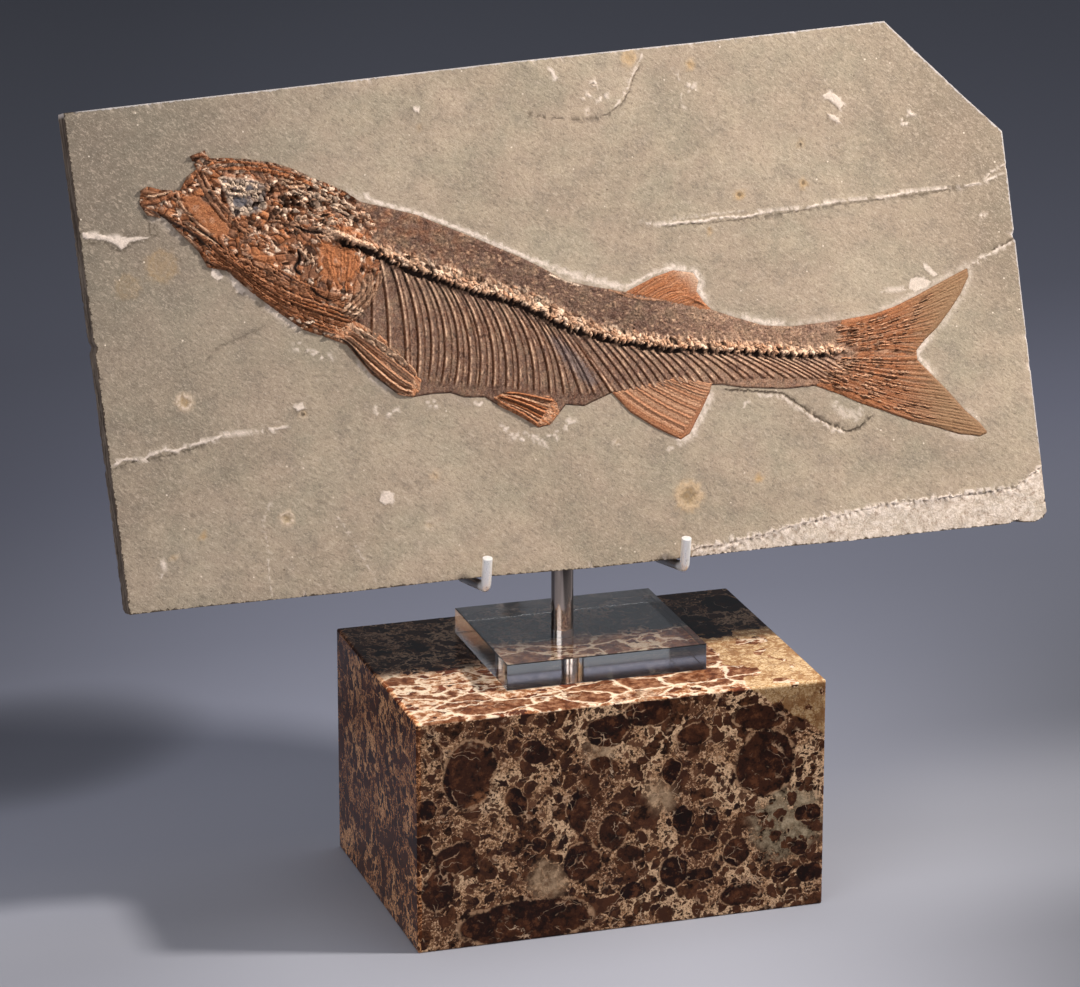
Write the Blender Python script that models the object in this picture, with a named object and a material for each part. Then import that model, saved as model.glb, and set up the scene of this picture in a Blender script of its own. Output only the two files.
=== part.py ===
"""A fossil fish in a slab of limestone, leaning on a steel stand that rises from a clear plate and a marble block.

Units are metres, +Z is up, +X is to the right along the block's front and -Y is the front. The origin is the middle of
the block's underside. Shapes on the slab are drawn in millimetres in the slab's own frame: u along its lower edge, v up
its face and w out of its face.
"""
import math

import bmesh
import bpy
from mathutils import Matrix, Vector
from mathutils.geometry import delaunay_2d_cdt

MM = 0.001
TOUCH_GAP = 0.0003

# The marble block.
BLOCK_WIDTH = 0.240
BLOCK_DEPTH = 0.167
BLOCK_HEIGHT = 0.136
BLOCK_EASED_EDGE = 0.0012

# The clear acrylic plate, with a hole for the post.
PLATE_WIDTH = 0.118
PLATE_DEPTH = 0.102
PLATE_THICKNESS = 0.0153
PLATE_CENTRE = Vector((0.002, 0.003, 0.0))
PLATE_EASED_EDGE = 0.0004

# The upright post, seated in a socket in the block.
POST_DIAMETER = 0.0127
POST_CENTRE = Vector((-0.008, 0.004, 0.0))
POST_SOCKET_DEPTH = 0.020

# The slab: where the middle of its lower front edge is, how far it leans back and how thick it is.
SLAB_EDGE = Vector((0.0, -0.030, 0.1973))
SLAB_LEAN = math.radians(16.0)
SLAB_THICKNESS = 0.0175

# The two hooks are bent rods: their arms fall towards the back, and their prongs lean forward by the same angle.
ROD_DIAMETER = 0.0056
HOOK_TIP = math.radians(11.0)
HOOK_PLACES = {"left_hook": -0.0644, "right_hook": 0.0526}
HOOK_TOP = 0.2115
HOOK_BEND_RADIUS = 0.0045
ARM_LENGTH = 0.046

# The welded rods behind the slab.
CROSS_BAR_DIAMETER = 0.008
CROSS_BAR_OVERHANG = 0.007
SPINE_DIAMETER = 0.009
SPINE_LENGTH = 0.165
REST_BAR_DIAMETER = 0.008
REST_BAR_LENGTH = 0.130
REST_BAR_FROM_SPINE_TOP = 0.012
SLEEVE_LENGTH = 0.026
SLEEVE_INSET = 0.004

# The slab's outline in millimetres, anticlockwise from its lower left corner, with the chips of its lower edge.
SLAB_OUTLINE = [
    (-266.6, 0.0), (-228.0, 0.4), (-150.0, 0.2), (-64.0, 1.2), (-2.0, 0.0), (62.8, 0.5), (110.0, 1.1),
    (153.5, 0.5), (215.0, 1.0), (252.0, 1.0), (257.0, 3.0), (261.0, 1.0), (268.0, 0.6), (274.0, 2.6), (276.0, 6.0),
    (275.1, 30.1), (271.8, 105.0), (269.4, 163.0), (267.9, 166.0), (269.0, 170.0), (266.7, 226.7),
    (243.0, 250.0), (199.7, 294.3), (87.8, 289.6), (-30.5, 285.6), (-146.0, 280.5), (-278.8, 274.8),
    (-273.2, 150.0), (-271.6, 147.0), (-272.8, 143.0), (-269.2, 60.0),
]

# The fish, in millimetres on the slab, clockwise from the tip of its lower jaw.
HEAD_TOP = [
    (-241.5, 222.4), (-240.3, 230.0), (-236.3, 231.8), (-228.9, 229.4), (-218.4, 228.2), (-213.9, 235.4),
    (-208.2, 239.2), (-211.4, 246.5), (-203.0, 249.2), (-200.5, 244.6), (-187.0, 243.8), (-165.9, 239.9),
    (-156.5, 236.4), (-143.4, 229.7), (-127.4, 221.9),
]
BACK_EDGE = [(-115.1, 213.9), (-86.2, 205.1), (-67.1, 196.0), (-47.9, 186.8), (-28.3, 177.0), (-17.2, 170.8),
             (-2.8, 161.5), (13.1, 157.2)]
DORSAL_FIN = [(31.7, 152.7), (48.6, 159.6), (60.8, 162.7), (72.4, 160.3), (75.2, 155.7), (73.6, 149.8), (77.4, 143.4)]
TAIL_STALK_TOP = [(81.6, 138.7), (94.9, 133.3), (111.8, 127.3), (128.7, 125.3), (159.1, 126.5)]
TAIL_FIN = [
    (177.7, 128.1), (191.3, 131.3), (205.0, 136.4), (218.9, 142.2), (238.3, 150.0), (238.5, 145.0), (233.1, 136.0),
    (225.6, 126.7), (216.8, 117.4), (208.2, 110.6), (203.1, 105.5), (203.3, 99.8), (209.3, 93.1), (220.3, 80.9),
    (230.0, 68.8), (238.7, 60.6), (242.9, 54.6), (238.1, 53.1), (224.9, 55.5), (211.9, 60.4), (196.3, 65.6),
    (180.9, 72.5), (166.8, 78.1), (155.4, 84.0),
]
TAIL_STALK_UNDER = [(140.2, 90.5), (121.7, 90.3), (95.8, 93.3), (84.3, 96.0)]
ANAL_FIN = [(77.9, 96.5), (76.6, 92.3), (70.2, 81.6), (62.8, 70.1), (57.1, 67.1), (42.3, 75.4), (28.6, 85.2),
            (18.7, 97.0)]
BELLY_REAR = [(1.9, 91.0), (-8.7, 92.8)]
PELVIC_FIN = [(-12.7, 88.8), (-18.6, 82.5), (-25.9, 81.4), (-36.2, 88.6), (-47.9, 95.4)]
BELLY_FRONT = [(-55.4, 100.9), (-67.3, 101.9), (-75.1, 105.0), (-85.0, 105.4)]
PECTORAL_FIN = [(-97.0, 104.5), (-104.9, 106.5), (-119.6, 119.3), (-131.9, 136.5)]
HEAD_UNDER = [(-142.3, 141.2), (-156.5, 147.1), (-169.3, 157.7), (-183.8, 170.2), (-196.3, 182.6), (-206.7, 185.3),
              (-210.8, 194.1), (-215.1, 199.2), (-228.3, 213.4), (-237.7, 216.0)]
FISH_OUTLINE = (HEAD_TOP + BACK_EDGE + DORSAL_FIN + TAIL_STALK_TOP + TAIL_FIN + TAIL_STALK_UNDER + ANAL_FIN
                + BELLY_REAR + PELVIC_FIN + BELLY_FRONT + PECTORAL_FIN + HEAD_UNDER)

# The backbone's line, its vertebrae and its half width at the head end and at the tail.
BACKBONE = [(-137.0, 199.0), (-104.0, 186.0), (-79.0, 174.0), (-41.0, 158.5), (-10.0, 145.0), (22.0, 131.0),
            (57.0, 122.0), (109.0, 114.3), (168.0, 107.3)]
VERTEBRA_COUNT = 48
BACKBONE_HALF_WIDTH = (4.6, 2.2)
BACKBONE_HEIGHT = (2.6, 1.5)
RIB_COUNT = 19
RIB_SPAN = (-106.0, 10.0)
SPINE_COUNT = 15
SPINE_SPAN = (17.0, 150.0)
# How far towards the tail a rib or a spine ends, by where it starts.
RIB_SWEEP = [(-106.0, 3.0), (-54.0, 6.0), (-25.0, 13.0), (-3.0, 25.0), (17.0, 19.0), (52.0, 13.0), (150.0, 7.0)]
# Where ribs and spines end, along the belly and under the tail's stalk.
RIB_ENDS = [(-106.0, 116.0), (-90.0, 108.0), (-67.0, 104.5), (-48.0, 99.5), (-5.0, 99.0), (22.0, 98.5), (46.0, 100.5),
            (65.0, 102.5), (84.0, 101.0), (109.0, 98.0), (158.0, 97.0)]

# Levels on the slab's face: the bed cut for the fish, the fish's underside and the lowest bone at its rim.
BED_DEPTH = 1.1
FISH_UNDERSIDE = -0.8
FISH_RIM = 0.15
BED_MARGIN = 0.5
HALO_WIDTH = 3.6
HALO_HEIGHT = 0.7


def clear_scene():
    for obj in list(bpy.data.objects):
        bpy.data.objects.remove(obj, do_unlink=True)


def material(name, colour, roughness, metallic=0.0, transmission=0.0):
    made = bpy.data.materials.new(name)
    made.use_nodes = True
    shader = made.node_tree.nodes["Principled BSDF"]
    shader.inputs["Base Color"].default_value = (*colour, 1.0)
    shader.inputs["Roughness"].default_value = roughness
    shader.inputs["Metallic"].default_value = metallic
    shader.inputs["Transmission Weight"].default_value = transmission
    made.diffuse_color = (*colour, 1.0)
    return made


def add_object(name, bm, finish, place=None):
    """Makes the named object of a bmesh, with its faces turned outwards."""
    bmesh.ops.recalc_face_normals(bm, faces=bm.faces)
    mesh = bpy.data.meshes.new(name)
    bm.to_mesh(mesh)
    bm.free()
    mesh.materials.append(finish)
    obj = bpy.data.objects.new(name, mesh)
    if place is not None:
        obj.matrix_world = place
    bpy.context.collection.objects.link(obj)
    return obj


def smooth(obj, degrees=40.0):
    obj.data.shade_smooth()
    obj.data.set_sharp_from_angle(angle=math.radians(degrees))


def slab_directions():
    """Up the slab's face and out of its face."""
    up = Vector((0.0, math.sin(SLAB_LEAN), math.cos(SLAB_LEAN)))
    out = Vector((0.0, -math.cos(SLAB_LEAN), math.sin(SLAB_LEAN)))
    return up, out


def slab_frame():
    """The slab's own axes in the world: u along X, v up the leaning face and w out of the face."""
    up, out = slab_directions()
    turn = Matrix((Vector((1.0, 0.0, 0.0)), up, out)).transposed().to_4x4()
    return Matrix.Translation(SLAB_EDGE) @ turn


# Plane geometry in millimetres.

def between(table, at):
    """Reads a table of (place, value) pairs at a place, on straight lines between the pairs."""
    if at <= table[0][0]:
        return table[0][1]
    for (a, low), (b, high) in zip(table, table[1:]):
        if at <= b:
            return low + (high - low) * (at - a) / (b - a)
    return table[-1][1]


def lerp(pair, share):
    return pair[0] + (pair[1] - pair[0]) * share


def bow(start, bend, end, count):
    """Points along a quadratic curve that leaves start towards bend and arrives at end."""
    points = []
    for step in range(count + 1):
        t = step / count
        points.append(Vector(start) * (1 - t) ** 2 + Vector(bend) * 2 * t * (1 - t) + Vector(end) * t * t)
    return points


def smooth_line(controls, count):
    """Points at even steps along a curve that passes through the control points."""
    ends = [Vector(controls[0]) * 2 - Vector(controls[1]), Vector(controls[-1]) * 2 - Vector(controls[-2])]
    knots = [ends[0]] + [Vector(c) for c in controls] + [ends[1]]
    dense = []
    for a, b, c, d in zip(knots, knots[1:], knots[2:], knots[3:]):
        for step in range(12):
            t = step / 12
            dense.append((b * 2 + (c - a) * t + (a * 2 - b * 5 + c * 4 - d) * t * t
                          + (b * 3 - a - c * 3 + d) * t ** 3) * 0.5)
    dense.append(knots[-2])
    return even_steps(dense, count)


def even_steps(line, count):
    lengths = [0.0]
    for a, b in zip(line, line[1:]):
        lengths.append(lengths[-1] + (b - a).length)
    points = []
    place = 0
    for step in range(count + 1):
        goal = lengths[-1] * step / count
        while place < len(line) - 2 and lengths[place + 1] < goal:
            place += 1
        span = lengths[place + 1] - lengths[place]
        points.append(line[place].lerp(line[place + 1], (goal - lengths[place]) / span))
    return points


def side_line(line, offset):
    """The line moved sideways: to its left for a positive offset. The offset may be one value or one for each point."""
    moved = []
    for index, point in enumerate(line):
        along = (line[min(index + 1, len(line) - 1)] - line[max(index - 1, 0)]).normalized()
        by = offset[index] if isinstance(offset, list) else offset
        moved.append(point + Vector((-along.y, along.x)) * by)
    return moved


def grown(outline, by):
    """A closed outline moved outwards, with its sharp corners kept blunt."""
    loop = [Vector(p) for p in outline]
    turning = sum(a.x * b.y - b.x * a.y for a, b in zip(loop, loop[1:] + loop[:1]))
    side = -1.0 if turning > 0 else 1.0
    moved = []
    for index, point in enumerate(loop):
        before = (point - loop[index - 1]).normalized()
        after = (loop[(index + 1) % len(loop)] - point).normalized()
        normal = Vector((-before.y - after.y, before.x + after.x)).normalized() * side
        reach = 1.0 / max(0.6, normal.dot(Vector((-before.y, before.x)) * side))
        moved.append(point + normal * by * reach)
    return moved


def inside(point, loop):
    hit = False
    for a, b in zip(loop, loop[1:] + loop[:1]):
        if (a[1] > point[1]) != (b[1] > point[1]):
            if point[0] < a[0] + (b[0] - a[0]) * (point[1] - a[1]) / (b[1] - a[1]):
                hit = not hit
    return hit


def segment_distance(point, a, b):
    """How far the point is from a segment, and the share of the segment at which it is nearest."""
    along = b - a
    share = max(0.0, min(1.0, (point - a).dot(along) / max(along.length_squared, 1e-9)))
    return (point - a - along * share).length, share


class Ridge:
    """A raised bone, or with a negative height a groove, along a line. It tapers towards the ends that say so."""

    def __init__(self, line, half_width, height, taper=(0.3, 1.0, 0.3), crown=2.0):
        self.line = [Vector(p) for p in line]
        self.half_width = half_width
        self.height = height
        self.taper = taper
        self.crown = crown

    def width_at(self, share):
        return lerp(self.half_width, share) if isinstance(self.half_width, tuple) else self.half_width

    def height_at(self, point):
        best = 0.0
        last = len(self.line) - 1
        for index, (a, b) in enumerate(zip(self.line, self.line[1:])):
            away, part = segment_distance(point, a, b)
            share = (index + part) / last
            width = self.width_at(share)
            if away < width:
                tallest = lerp(self.height, share) if isinstance(self.height, tuple) else self.height
                fade = between([(0.0, self.taper[0]), (0.5, self.taper[1]), (1.0, self.taper[2])], share)
                value = tallest * fade * (1 - (away / width) ** self.crown)
                best = max(best, value) if tallest > 0 else min(best, value)
        return best


class Relief:
    """A face drawn in millimetres as outlines, lines and points, and then lifted by a height for each place."""

    def __init__(self, outline):
        self.outline = [Vector(p) for p in outline]
        self.points = []
        self.edges = []
        self.loop(self.outline)

    def line(self, points):
        first = len(self.points)
        self.points.extend(Vector(p) for p in points)
        self.edges.extend((i, i + 1) for i in range(first, len(self.points) - 1))

    def loop(self, points):
        first = len(self.points)
        self.line(points)
        self.edges.append((len(self.points) - 1, first))

    def ridge(self, ridge, crest=True):
        """Draws the lines that a ridge needs: its crest, and its two feet where they lie inside the outline."""
        if crest:
            self.line(ridge.line)
        last = len(ridge.line) - 1
        widths = [ridge.width_at(i / last) for i in range(last + 1)]
        for side in (1.0, -1.0):
            foot = side_line(ridge.line, [width * side for width in widths])
            kept = [p for p in foot if inside(p, self.outline)]
            if len(kept) > 1:
                self.line(kept)

    def fill(self, spacing, clearance, keep=None):
        """Adds an even spread of points that keep clear of what is drawn already."""
        us = [p.x for p in self.outline]
        vs = [p.y for p in self.outline]
        rows = int((max(vs) - min(vs)) / spacing)
        columns = int((max(us) - min(us)) / spacing)
        for row in range(1, rows):
            for column in range(1, columns):
                shift = 0.25 if row % 2 else -0.25
                place = Vector((min(us) + (column + shift) * spacing, min(vs) + row * spacing))
                if keep and not keep(place):
                    continue
                if inside(place, self.outline) and all((place - p).length > clearance for p in self.points):
                    self.points.append(place)

    def bmesh(self, height, hole=None):
        """The lifted face, without the part inside the hole."""
        points, _, faces, *_ = delaunay_2d_cdt(self.points, self.edges, [], 0, 1e-4)
        bm = bmesh.new()
        verts = [bm.verts.new((p.x, p.y, height(p))) for p in points]
        for face in faces:
            middle = sum((points[i] for i in face), Vector((0.0, 0.0))) / len(face)
            if inside(middle, self.outline) and not (hole and inside(middle, hole)):
                bm.faces.new([verts[i] for i in face])
        loose = [v for v in bm.verts if not v.link_faces]
        bmesh.ops.delete(bm, geom=loose, context="VERTS")
        return bm


def wall_and_floor(bm, edges, level):
    """Drops a wall from a loop of open edges to a level, and closes it with a flat face."""
    made = bmesh.ops.extrude_edge_only(bm, edges=edges)["geom"]
    for vert in (g for g in made if isinstance(g, bmesh.types.BMVert)):
        vert.co.z = level
    rim = [g for g in made if isinstance(g, bmesh.types.BMEdge) and g.is_boundary]
    bmesh.ops.contextual_create(bm, geom=rim)


def open_edges(bm, test):
    return [e for e in bm.edges if e.is_boundary and test(e)]


# The fish.

def backbone_line():
    return smooth_line(BACKBONE, VERTEBRA_COUNT * 2)


def backbone_at(u):
    line = backbone_line()
    return min(line, key=lambda p: abs(p.x - u))


def rib(u, reach=1.0):
    """A rib or a spine below the backbone that starts at u: it bows towards the tail and then drops."""
    top = backbone_at(u) - Vector((0.0, 3.6))
    end_u = top.x + between(RIB_SWEEP, top.x)
    end = Vector((end_u, between(RIB_ENDS, end_u)))
    end = top.lerp(end, reach)
    bend_u = min(top.x + 13.0, (top.x + end.x) / 2 + 9.0)
    bend = Vector((bend_u, top.y + (end.y - top.y) * 0.45))
    return bow(top, bend, end, 6)


def ribs():
    made = []
    for index in range(RIB_COUNT):
        made.append(Ridge(rib(lerp(RIB_SPAN, index / (RIB_COUNT - 1))), 1.3, 0.85, (1.0, 1.0, 0.5)))
    for index in range(SPINE_COUNT):
        share = index / (SPINE_COUNT - 1)
        line = rib(lerp(SPINE_SPAN, share), lerp((1.0, 0.6), share))
        made.append(Ridge(line, 1.1, 0.7, (1.0, 1.0, 0.4)))
    return made


def fan(roots, tips, count, half_width, height, steps=3, inset=0.03):
    """Fin rays that spread from a line of roots to a line of tips."""
    root_line = even_steps([Vector(p) for p in roots], count - 1)
    tip_line = even_steps([Vector(p) for p in tips], count - 1)
    rays = []
    for root, tip in zip(root_line, tip_line):
        end = tip.lerp(root, inset)
        rays.append(Ridge(bow(root, root.lerp(end, 0.5), end, steps), half_width, height, (0.8, 1.0, 0.5)))
    return rays


def fins():
    upper_tips = [(235.5, 147.5), (225.0, 129.0), (203.5, 107.0)]
    lower_tips = [(203.5, 99.5), (220.0, 80.0), (240.0, 55.5)]
    made = fan([(163.0, 123.0), (168.0, 112.0)], upper_tips, 7, (1.1, 1.5), 0.7, 3, 0.02)
    made += fan([(168.0, 106.0), (149.0, 91.0)], lower_tips, 8, (1.1, 1.5), 0.7, 3, 0.02)
    made += fan([(35.0, 149.5), (73.0, 142.5)], [(52.0, 158.5), (63.0, 160.2), (72.5, 150.5)], 8, 0.9, 0.55, 2)
    made += fan([(23.5, 95.0), (69.0, 98.0)], [(56.0, 69.0), (63.0, 73.5), (75.0, 94.0)], 10, 0.9, 0.65, 3)
    made += fan([(-47.0, 98.0), (-36.0, 97.5)], [(-27.5, 83.0), (-16.5, 86.0)], 5, 0.8, 0.7, 2)
    made += fan([(-127.5, 136.5), (-115.0, 141.0)], [(-103.0, 108.0), (-93.5, 118.0)], 6, 0.9, 1.0, 4)
    return made


def skull_bones():
    """The larger bones of the crushed head, by name."""
    bones = {
        "dentary": Ridge([(-239.0, 221.5), (-214.0, 210.5), (-197.0, 197.0), (-188.0, 187.5)], 2.6, 1.6),
        "premaxilla": Ridge([(-213.0, 232.0), (-207.0, 222.0), (-195.0, 207.5), (-189.5, 196.5)], 3.4, 1.5),
        "maxilla": Ridge([(-206.5, 237.0), (-199.5, 225.0), (-192.5, 215.0)], 1.5, 1.5),
        "skull_roof": Ridge([(-203.0, 242.5), (-186.0, 241.0), (-166.0, 236.0), (-147.0, 226.5), (-131.0, 218.5)],
                            2.8, 1.7),
        "brow": Ridge([(-196.0, 236.0), (-182.0, 232.5), (-170.0, 227.5)], 2.2, 1.3),
        "cheek": Ridge([(-186.0, 205.0), (-170.0, 201.0), (-158.0, 205.0)], 5.0, 1.4),
        "jaw_joint": Ridge([(-184.0, 190.0), (-170.0, 193.0), (-157.0, 190.0)], 4.4, 1.5),
        "preopercle": Ridge([(-150.0, 207.0), (-148.5, 192.0), (-152.0, 176.0), (-163.0, 168.0)], 2.4, 1.4),
        "opercle_front": Ridge([(-138.5, 199.0), (-140.5, 185.0), (-138.5, 170.0)], 3.6, 1.5),
        "opercle_back": Ridge([(-128.5, 198.0), (-125.5, 184.0), (-129.0, 168.5)], 3.8, 1.3),
        "cleithrum": Ridge([(-116.0, 184.0), (-112.5, 170.0), (-119.0, 155.0), (-129.0, 148.5)], 2.4, 1.6),
        "nape": Ridge([(-141.0, 212.0), (-131.0, 206.5), (-121.0, 201.0)], 2.8, 1.9),
    }
    for index in range(4):
        low = index * 3.6
        bones["gill_ray_%d" % index] = Ridge(
            [(-190.0 + low, 179.0 + low * 0.7), (-172.0 + low, 163.5 + low * 0.9), (-146.0 + low * 0.6, 149.5 + low)],
            1.3, 1.1)
    return bones


SKULL_PITS = {"orbit": ((-184.5, 221.5), 7.5, 1.2), "temple": ((-157.0, 217.0), 5.0, 1.3),
              "gill_gap": ((-149.5, 183.5), 2.5, 0.9)}


def pit_depth(point, pit):
    centre, radius, depth = pit
    away = (point - Vector(centre)).length / radius
    return -depth * (1 - away * away) if away < 1 else 0.0


def backbone_height(point, line):
    """Each vertebra is a drum, a little narrower at its waist than at its ends."""
    best = 0.0
    last = len(line) - 1
    for index, (a, b) in enumerate(zip(line, line[1:])):
        away, part = segment_distance(point, a, b)
        share = (index + part) / last
        width = lerp(BACKBONE_HALF_WIDTH, share)
        if away < width:
            drum = 0.78 + 0.22 * math.cos(math.pi * (index + part))
            best = max(best, lerp(BACKBONE_HEIGHT, share) * drum * (1 - (away / width) ** 6))
    return best


def body_swell(point):
    """The gentle swell of the whole body: highest on the head, low on the flank and flat at the fins."""
    head = math.exp(-((point.x + 170.0) / 45.0) ** 2 - ((point.y - 200.0) / 30.0) ** 2) * 1.1
    along = backbone_at(point.x)
    flank = math.exp(-((point.y - along.y - 4.0) / 24.0) ** 2) * between(
        [(-140.0, 0.7), (-60.0, 0.8), (60.0, 0.5), (165.0, 0.15), (200.0, 0.0)], point.x)
    return max(head, flank)


def rim_fade(point, outline):
    """Nought at the outline and one a few millimetres in from it."""
    away = min(segment_distance(point, a, b)[0] for a, b in zip(outline, outline[1:] + outline[:1]))
    return min(1.0, away / 2.0)


def fish(frame):
    bone = material("fossil_bone", (0.30, 0.13, 0.065), 0.5)
    relief = Relief(FISH_OUTLINE)
    line = backbone_line()
    last = len(line) - 1
    half_widths = [lerp(BACKBONE_HALF_WIDTH, i / last) for i in range(last + 1)]
    for share in (0.0, 0.72, -0.72):
        relief.line(side_line(line, [w * share for w in half_widths])[:-2])
    for share in (1.06, -1.06):
        relief.line(side_line(line, [w * share for w in half_widths])[2:-2:2])
    raised = ribs() + fins() + list(skull_bones().values())
    for ridge in raised:
        relief.ridge(ridge)
    for centre, radius, _ in SKULL_PITS.values():
        ring = [Vector(centre) + Vector((math.cos(a), math.sin(a))) * radius
                for a in (math.radians(d) for d in range(0, 360, 45))]
        relief.loop(ring)
        relief.points.append(Vector(centre))
    relief.fill(7.0, 2.4)
    outline = relief.outline

    def height(point):
        level = body_swell(point)
        level += max(ridge.height_at(point) for ridge in raised)
        level += min(pit_depth(point, pit) for pit in SKULL_PITS.values())
        level = max(level, backbone_height(point, line) + 0.25)
        return FISH_RIM + max(0.0, level) * rim_fade(point, outline)

    bm = relief.bmesh(height)
    wall_and_floor(bm, open_edges(bm, lambda e: True), FISH_UNDERSIDE)
    bmesh.ops.scale(bm, vec=Vector((MM, MM, MM)), verts=bm.verts)
    return smooth(add_object("fossil_fish", bm, bone, frame), 35.0)


# The slab.

FLAKED_LEDGE = [(63.0, 3.0), (91.0, 12.7), (122.0, 19.5), (155.5, 23.8), (205.0, 22.5), (240.0, 20.0), (262.0, 25.0),
                (274.0, 33.0)]
FLAKE_DEPTH = 1.6
HEALED_CRACKS = {
    "long_seam": Ridge([(34.0, 192.0), (80.0, 193.5), (130.0, 191.5), (170.0, 193.5), (200.0, 198.5), (235.0, 203.0),
                        (264.0, 210.0)], 2.4, 0.6, (0.4, 1.0, 0.9)),
    "lower_left": Ridge([(-265.0, 82.0), (-243.0, 86.5), (-225.0, 84.0), (-200.0, 90.5), (-170.0, 93.0)],
                        1.6, 0.5, (1.0, 1.0, 0.3)),
    "upper_left": Ridge([(-272.0, 206.0), (-258.0, 210.0), (-247.0, 206.0), (-236.0, 202.0)], 3.0, 0.7),
    "by_the_tail": Ridge([(86.0, 91.2), (104.0, 90.0), (121.0, 87.0), (131.0, 79.5), (141.0, 71.5), (158.0, 62.8),
                          (174.0, 70.5)], 1.0, -0.6, (0.5, 1.0, 0.7)),
}
SLAB_PITS = {"ring_spot": ((58.0, 34.6), 5.0, 0.7), "left_spot": ((-225.6, 114.1), 3.5, 0.5),
             "middle_spot": ((-117.5, 52.0), 4.0, 0.5), "low_spot": ((-93.2, 33.0), 3.5, 0.4),
             "belly_spot": ((19.4, 69.2), 2.6, -0.6), "dent": ((-172.6, 43.2), 3.5, 0.5)}


def below_ledge(point):
    """How far a place is under the flaked ledge, in millimetres: negative above it."""
    return between(FLAKED_LEDGE, point.x) - point.y if point.x > FLAKED_LEDGE[0][0] else -1.0


def slab_level(point, bed):
    """The height of the slab's front: a split surface that rolls slightly, with its ledge, seams, pits and halo."""
    level = 0.35 * math.sin(point.x / 61.0 + 0.8) * math.cos(point.y / 47.0) - 0.35
    under = below_ledge(point)
    level -= FLAKE_DEPTH * max(0.0, min(1.0, under / 1.5 + 0.5)) * (1.0 if under > -0.75 else 0.0)
    level += max(crack.height_at(point) for crack in HEALED_CRACKS.values())
    level += min(crack.height_at(point) for crack in HEALED_CRACKS.values())
    level += sum(pit_depth(point, pit) for pit in SLAB_PITS.values())
    away = min(segment_distance(point, a, b)[0] for a, b in zip(bed, bed[1:] + bed[:1]))
    flat = max(0.0, 1.0 - away / 25.0)
    level = level * (1.0 - flat)
    return level + HALO_HEIGHT * max(0.0, 1.0 - away / HALO_WIDTH)


def slab(frame):
    stone = material("limestone", (0.42, 0.36, 0.26), 0.85)
    bed = grown(FISH_OUTLINE, BED_MARGIN)
    relief = Relief(SLAB_OUTLINE)
    relief.loop(bed)
    relief.loop(grown(FISH_OUTLINE, BED_MARGIN + HALO_WIDTH))
    ledge = [Vector(p) for p in FLAKED_LEDGE]
    for offset in (0.75, -0.75):
        relief.line([p for p in side_line(ledge, offset) if inside(p, relief.outline)])
    for crack in HEALED_CRACKS.values():
        relief.ridge(crack)
    for centre, radius, _ in SLAB_PITS.values():
        relief.loop([Vector(centre) + Vector((math.cos(a), math.sin(a))) * radius
                     for a in (math.radians(d) for d in range(0, 360, 60))])
        relief.points.append(Vector(centre))
    relief.fill(21.0, 6.0, keep=lambda p: not inside(p, bed))
    bm = relief.bmesh(lambda p: slab_level(p, bed), hole=bed)
    rim = set(open_edges(bm, lambda e: min((Vector(v.co[:2]) - p).length for v in e.verts for p in bed) < 0.01))
    wall_and_floor(bm, list(rim), -BED_DEPTH)
    wall_and_floor(bm, open_edges(bm, lambda e: True), -SLAB_THICKNESS / MM)
    bmesh.ops.scale(bm, vec=Vector((MM, MM, MM)), verts=bm.verts)
    return smooth(add_object("limestone_slab", bm, stone, frame), 30.0)


# The stand.

def box(name, size, centre, eased, finish):
    bm = bmesh.new()
    bmesh.ops.create_cube(bm, size=1.0)
    bmesh.ops.scale(bm, vec=size, verts=bm.verts)
    bmesh.ops.bevel(bm, geom=bm.edges[:], offset=eased, segments=2, profile=0.5, affect="EDGES")
    return add_object(name, bm, finish, Matrix.Translation(centre))


def drill(obj, radius, centre, bottom, top):
    """Cuts a round upright hole with a Boolean modifier."""
    bm = bmesh.new()
    bmesh.ops.create_cone(bm, cap_ends=True, segments=32, radius1=radius, radius2=radius, depth=top - bottom)
    cutter = add_object(obj.name + "_cutter", bm, obj.data.materials[0],
                        Matrix.Translation((centre.x, centre.y, (bottom + top) / 2)))
    cutter.hide_render = True
    cutter.display_type = "WIRE"
    hole = obj.modifiers.new("hole", "BOOLEAN")
    hole.operation = "DIFFERENCE"
    hole.object = cutter


def rod(name, diameter, start, end, finish, bore=0.0, eased=0.0005, segments=24):
    """A straight rod or tube between two points, with its ends eased."""
    outer = diameter / 2
    length = (end - start).length
    profile = [(outer - eased, 0.0), (outer, eased), (outer, length - eased), (outer - eased, length)]
    inner = bore / 2
    profile = [(inner, 0.0)] + profile + [(inner, length)]
    bm = bmesh.new()
    rings = []
    for radius, along in profile:
        if radius == 0.0:
            rings.append([bm.verts.new((0.0, 0.0, along))])
            continue
        rings.append([bm.verts.new((radius * math.cos(math.tau * i / segments),
                                    radius * math.sin(math.tau * i / segments), along)) for i in range(segments)])
    pairs = list(zip(rings, rings[1:]))
    if inner:
        pairs.append((rings[-1], rings[0]))
    for low, high in pairs:
        join_rings(bm, low, high)
    turn = (end - start).to_track_quat("Z", "Y").to_matrix().to_4x4()
    obj = add_object(name, bm, finish, Matrix.Translation(start) @ turn)
    smooth(obj)
    return obj


def join_rings(bm, low, high):
    count = max(len(low), len(high))
    for i in range(count):
        j = (i + 1) % count
        corners = [low[i % len(low)], low[j % len(low)], high[j % len(high)], high[i % len(high)]]
        bm.faces.new(list(dict.fromkeys(corners)))


def arm_directions():
    """Along the arm towards the back, and square to it upwards."""
    along = Vector((0.0, math.cos(HOOK_TIP), -math.sin(HOOK_TIP)))
    square = Vector((0.0, math.sin(HOOK_TIP), math.cos(HOOK_TIP)))
    return along, square


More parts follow.
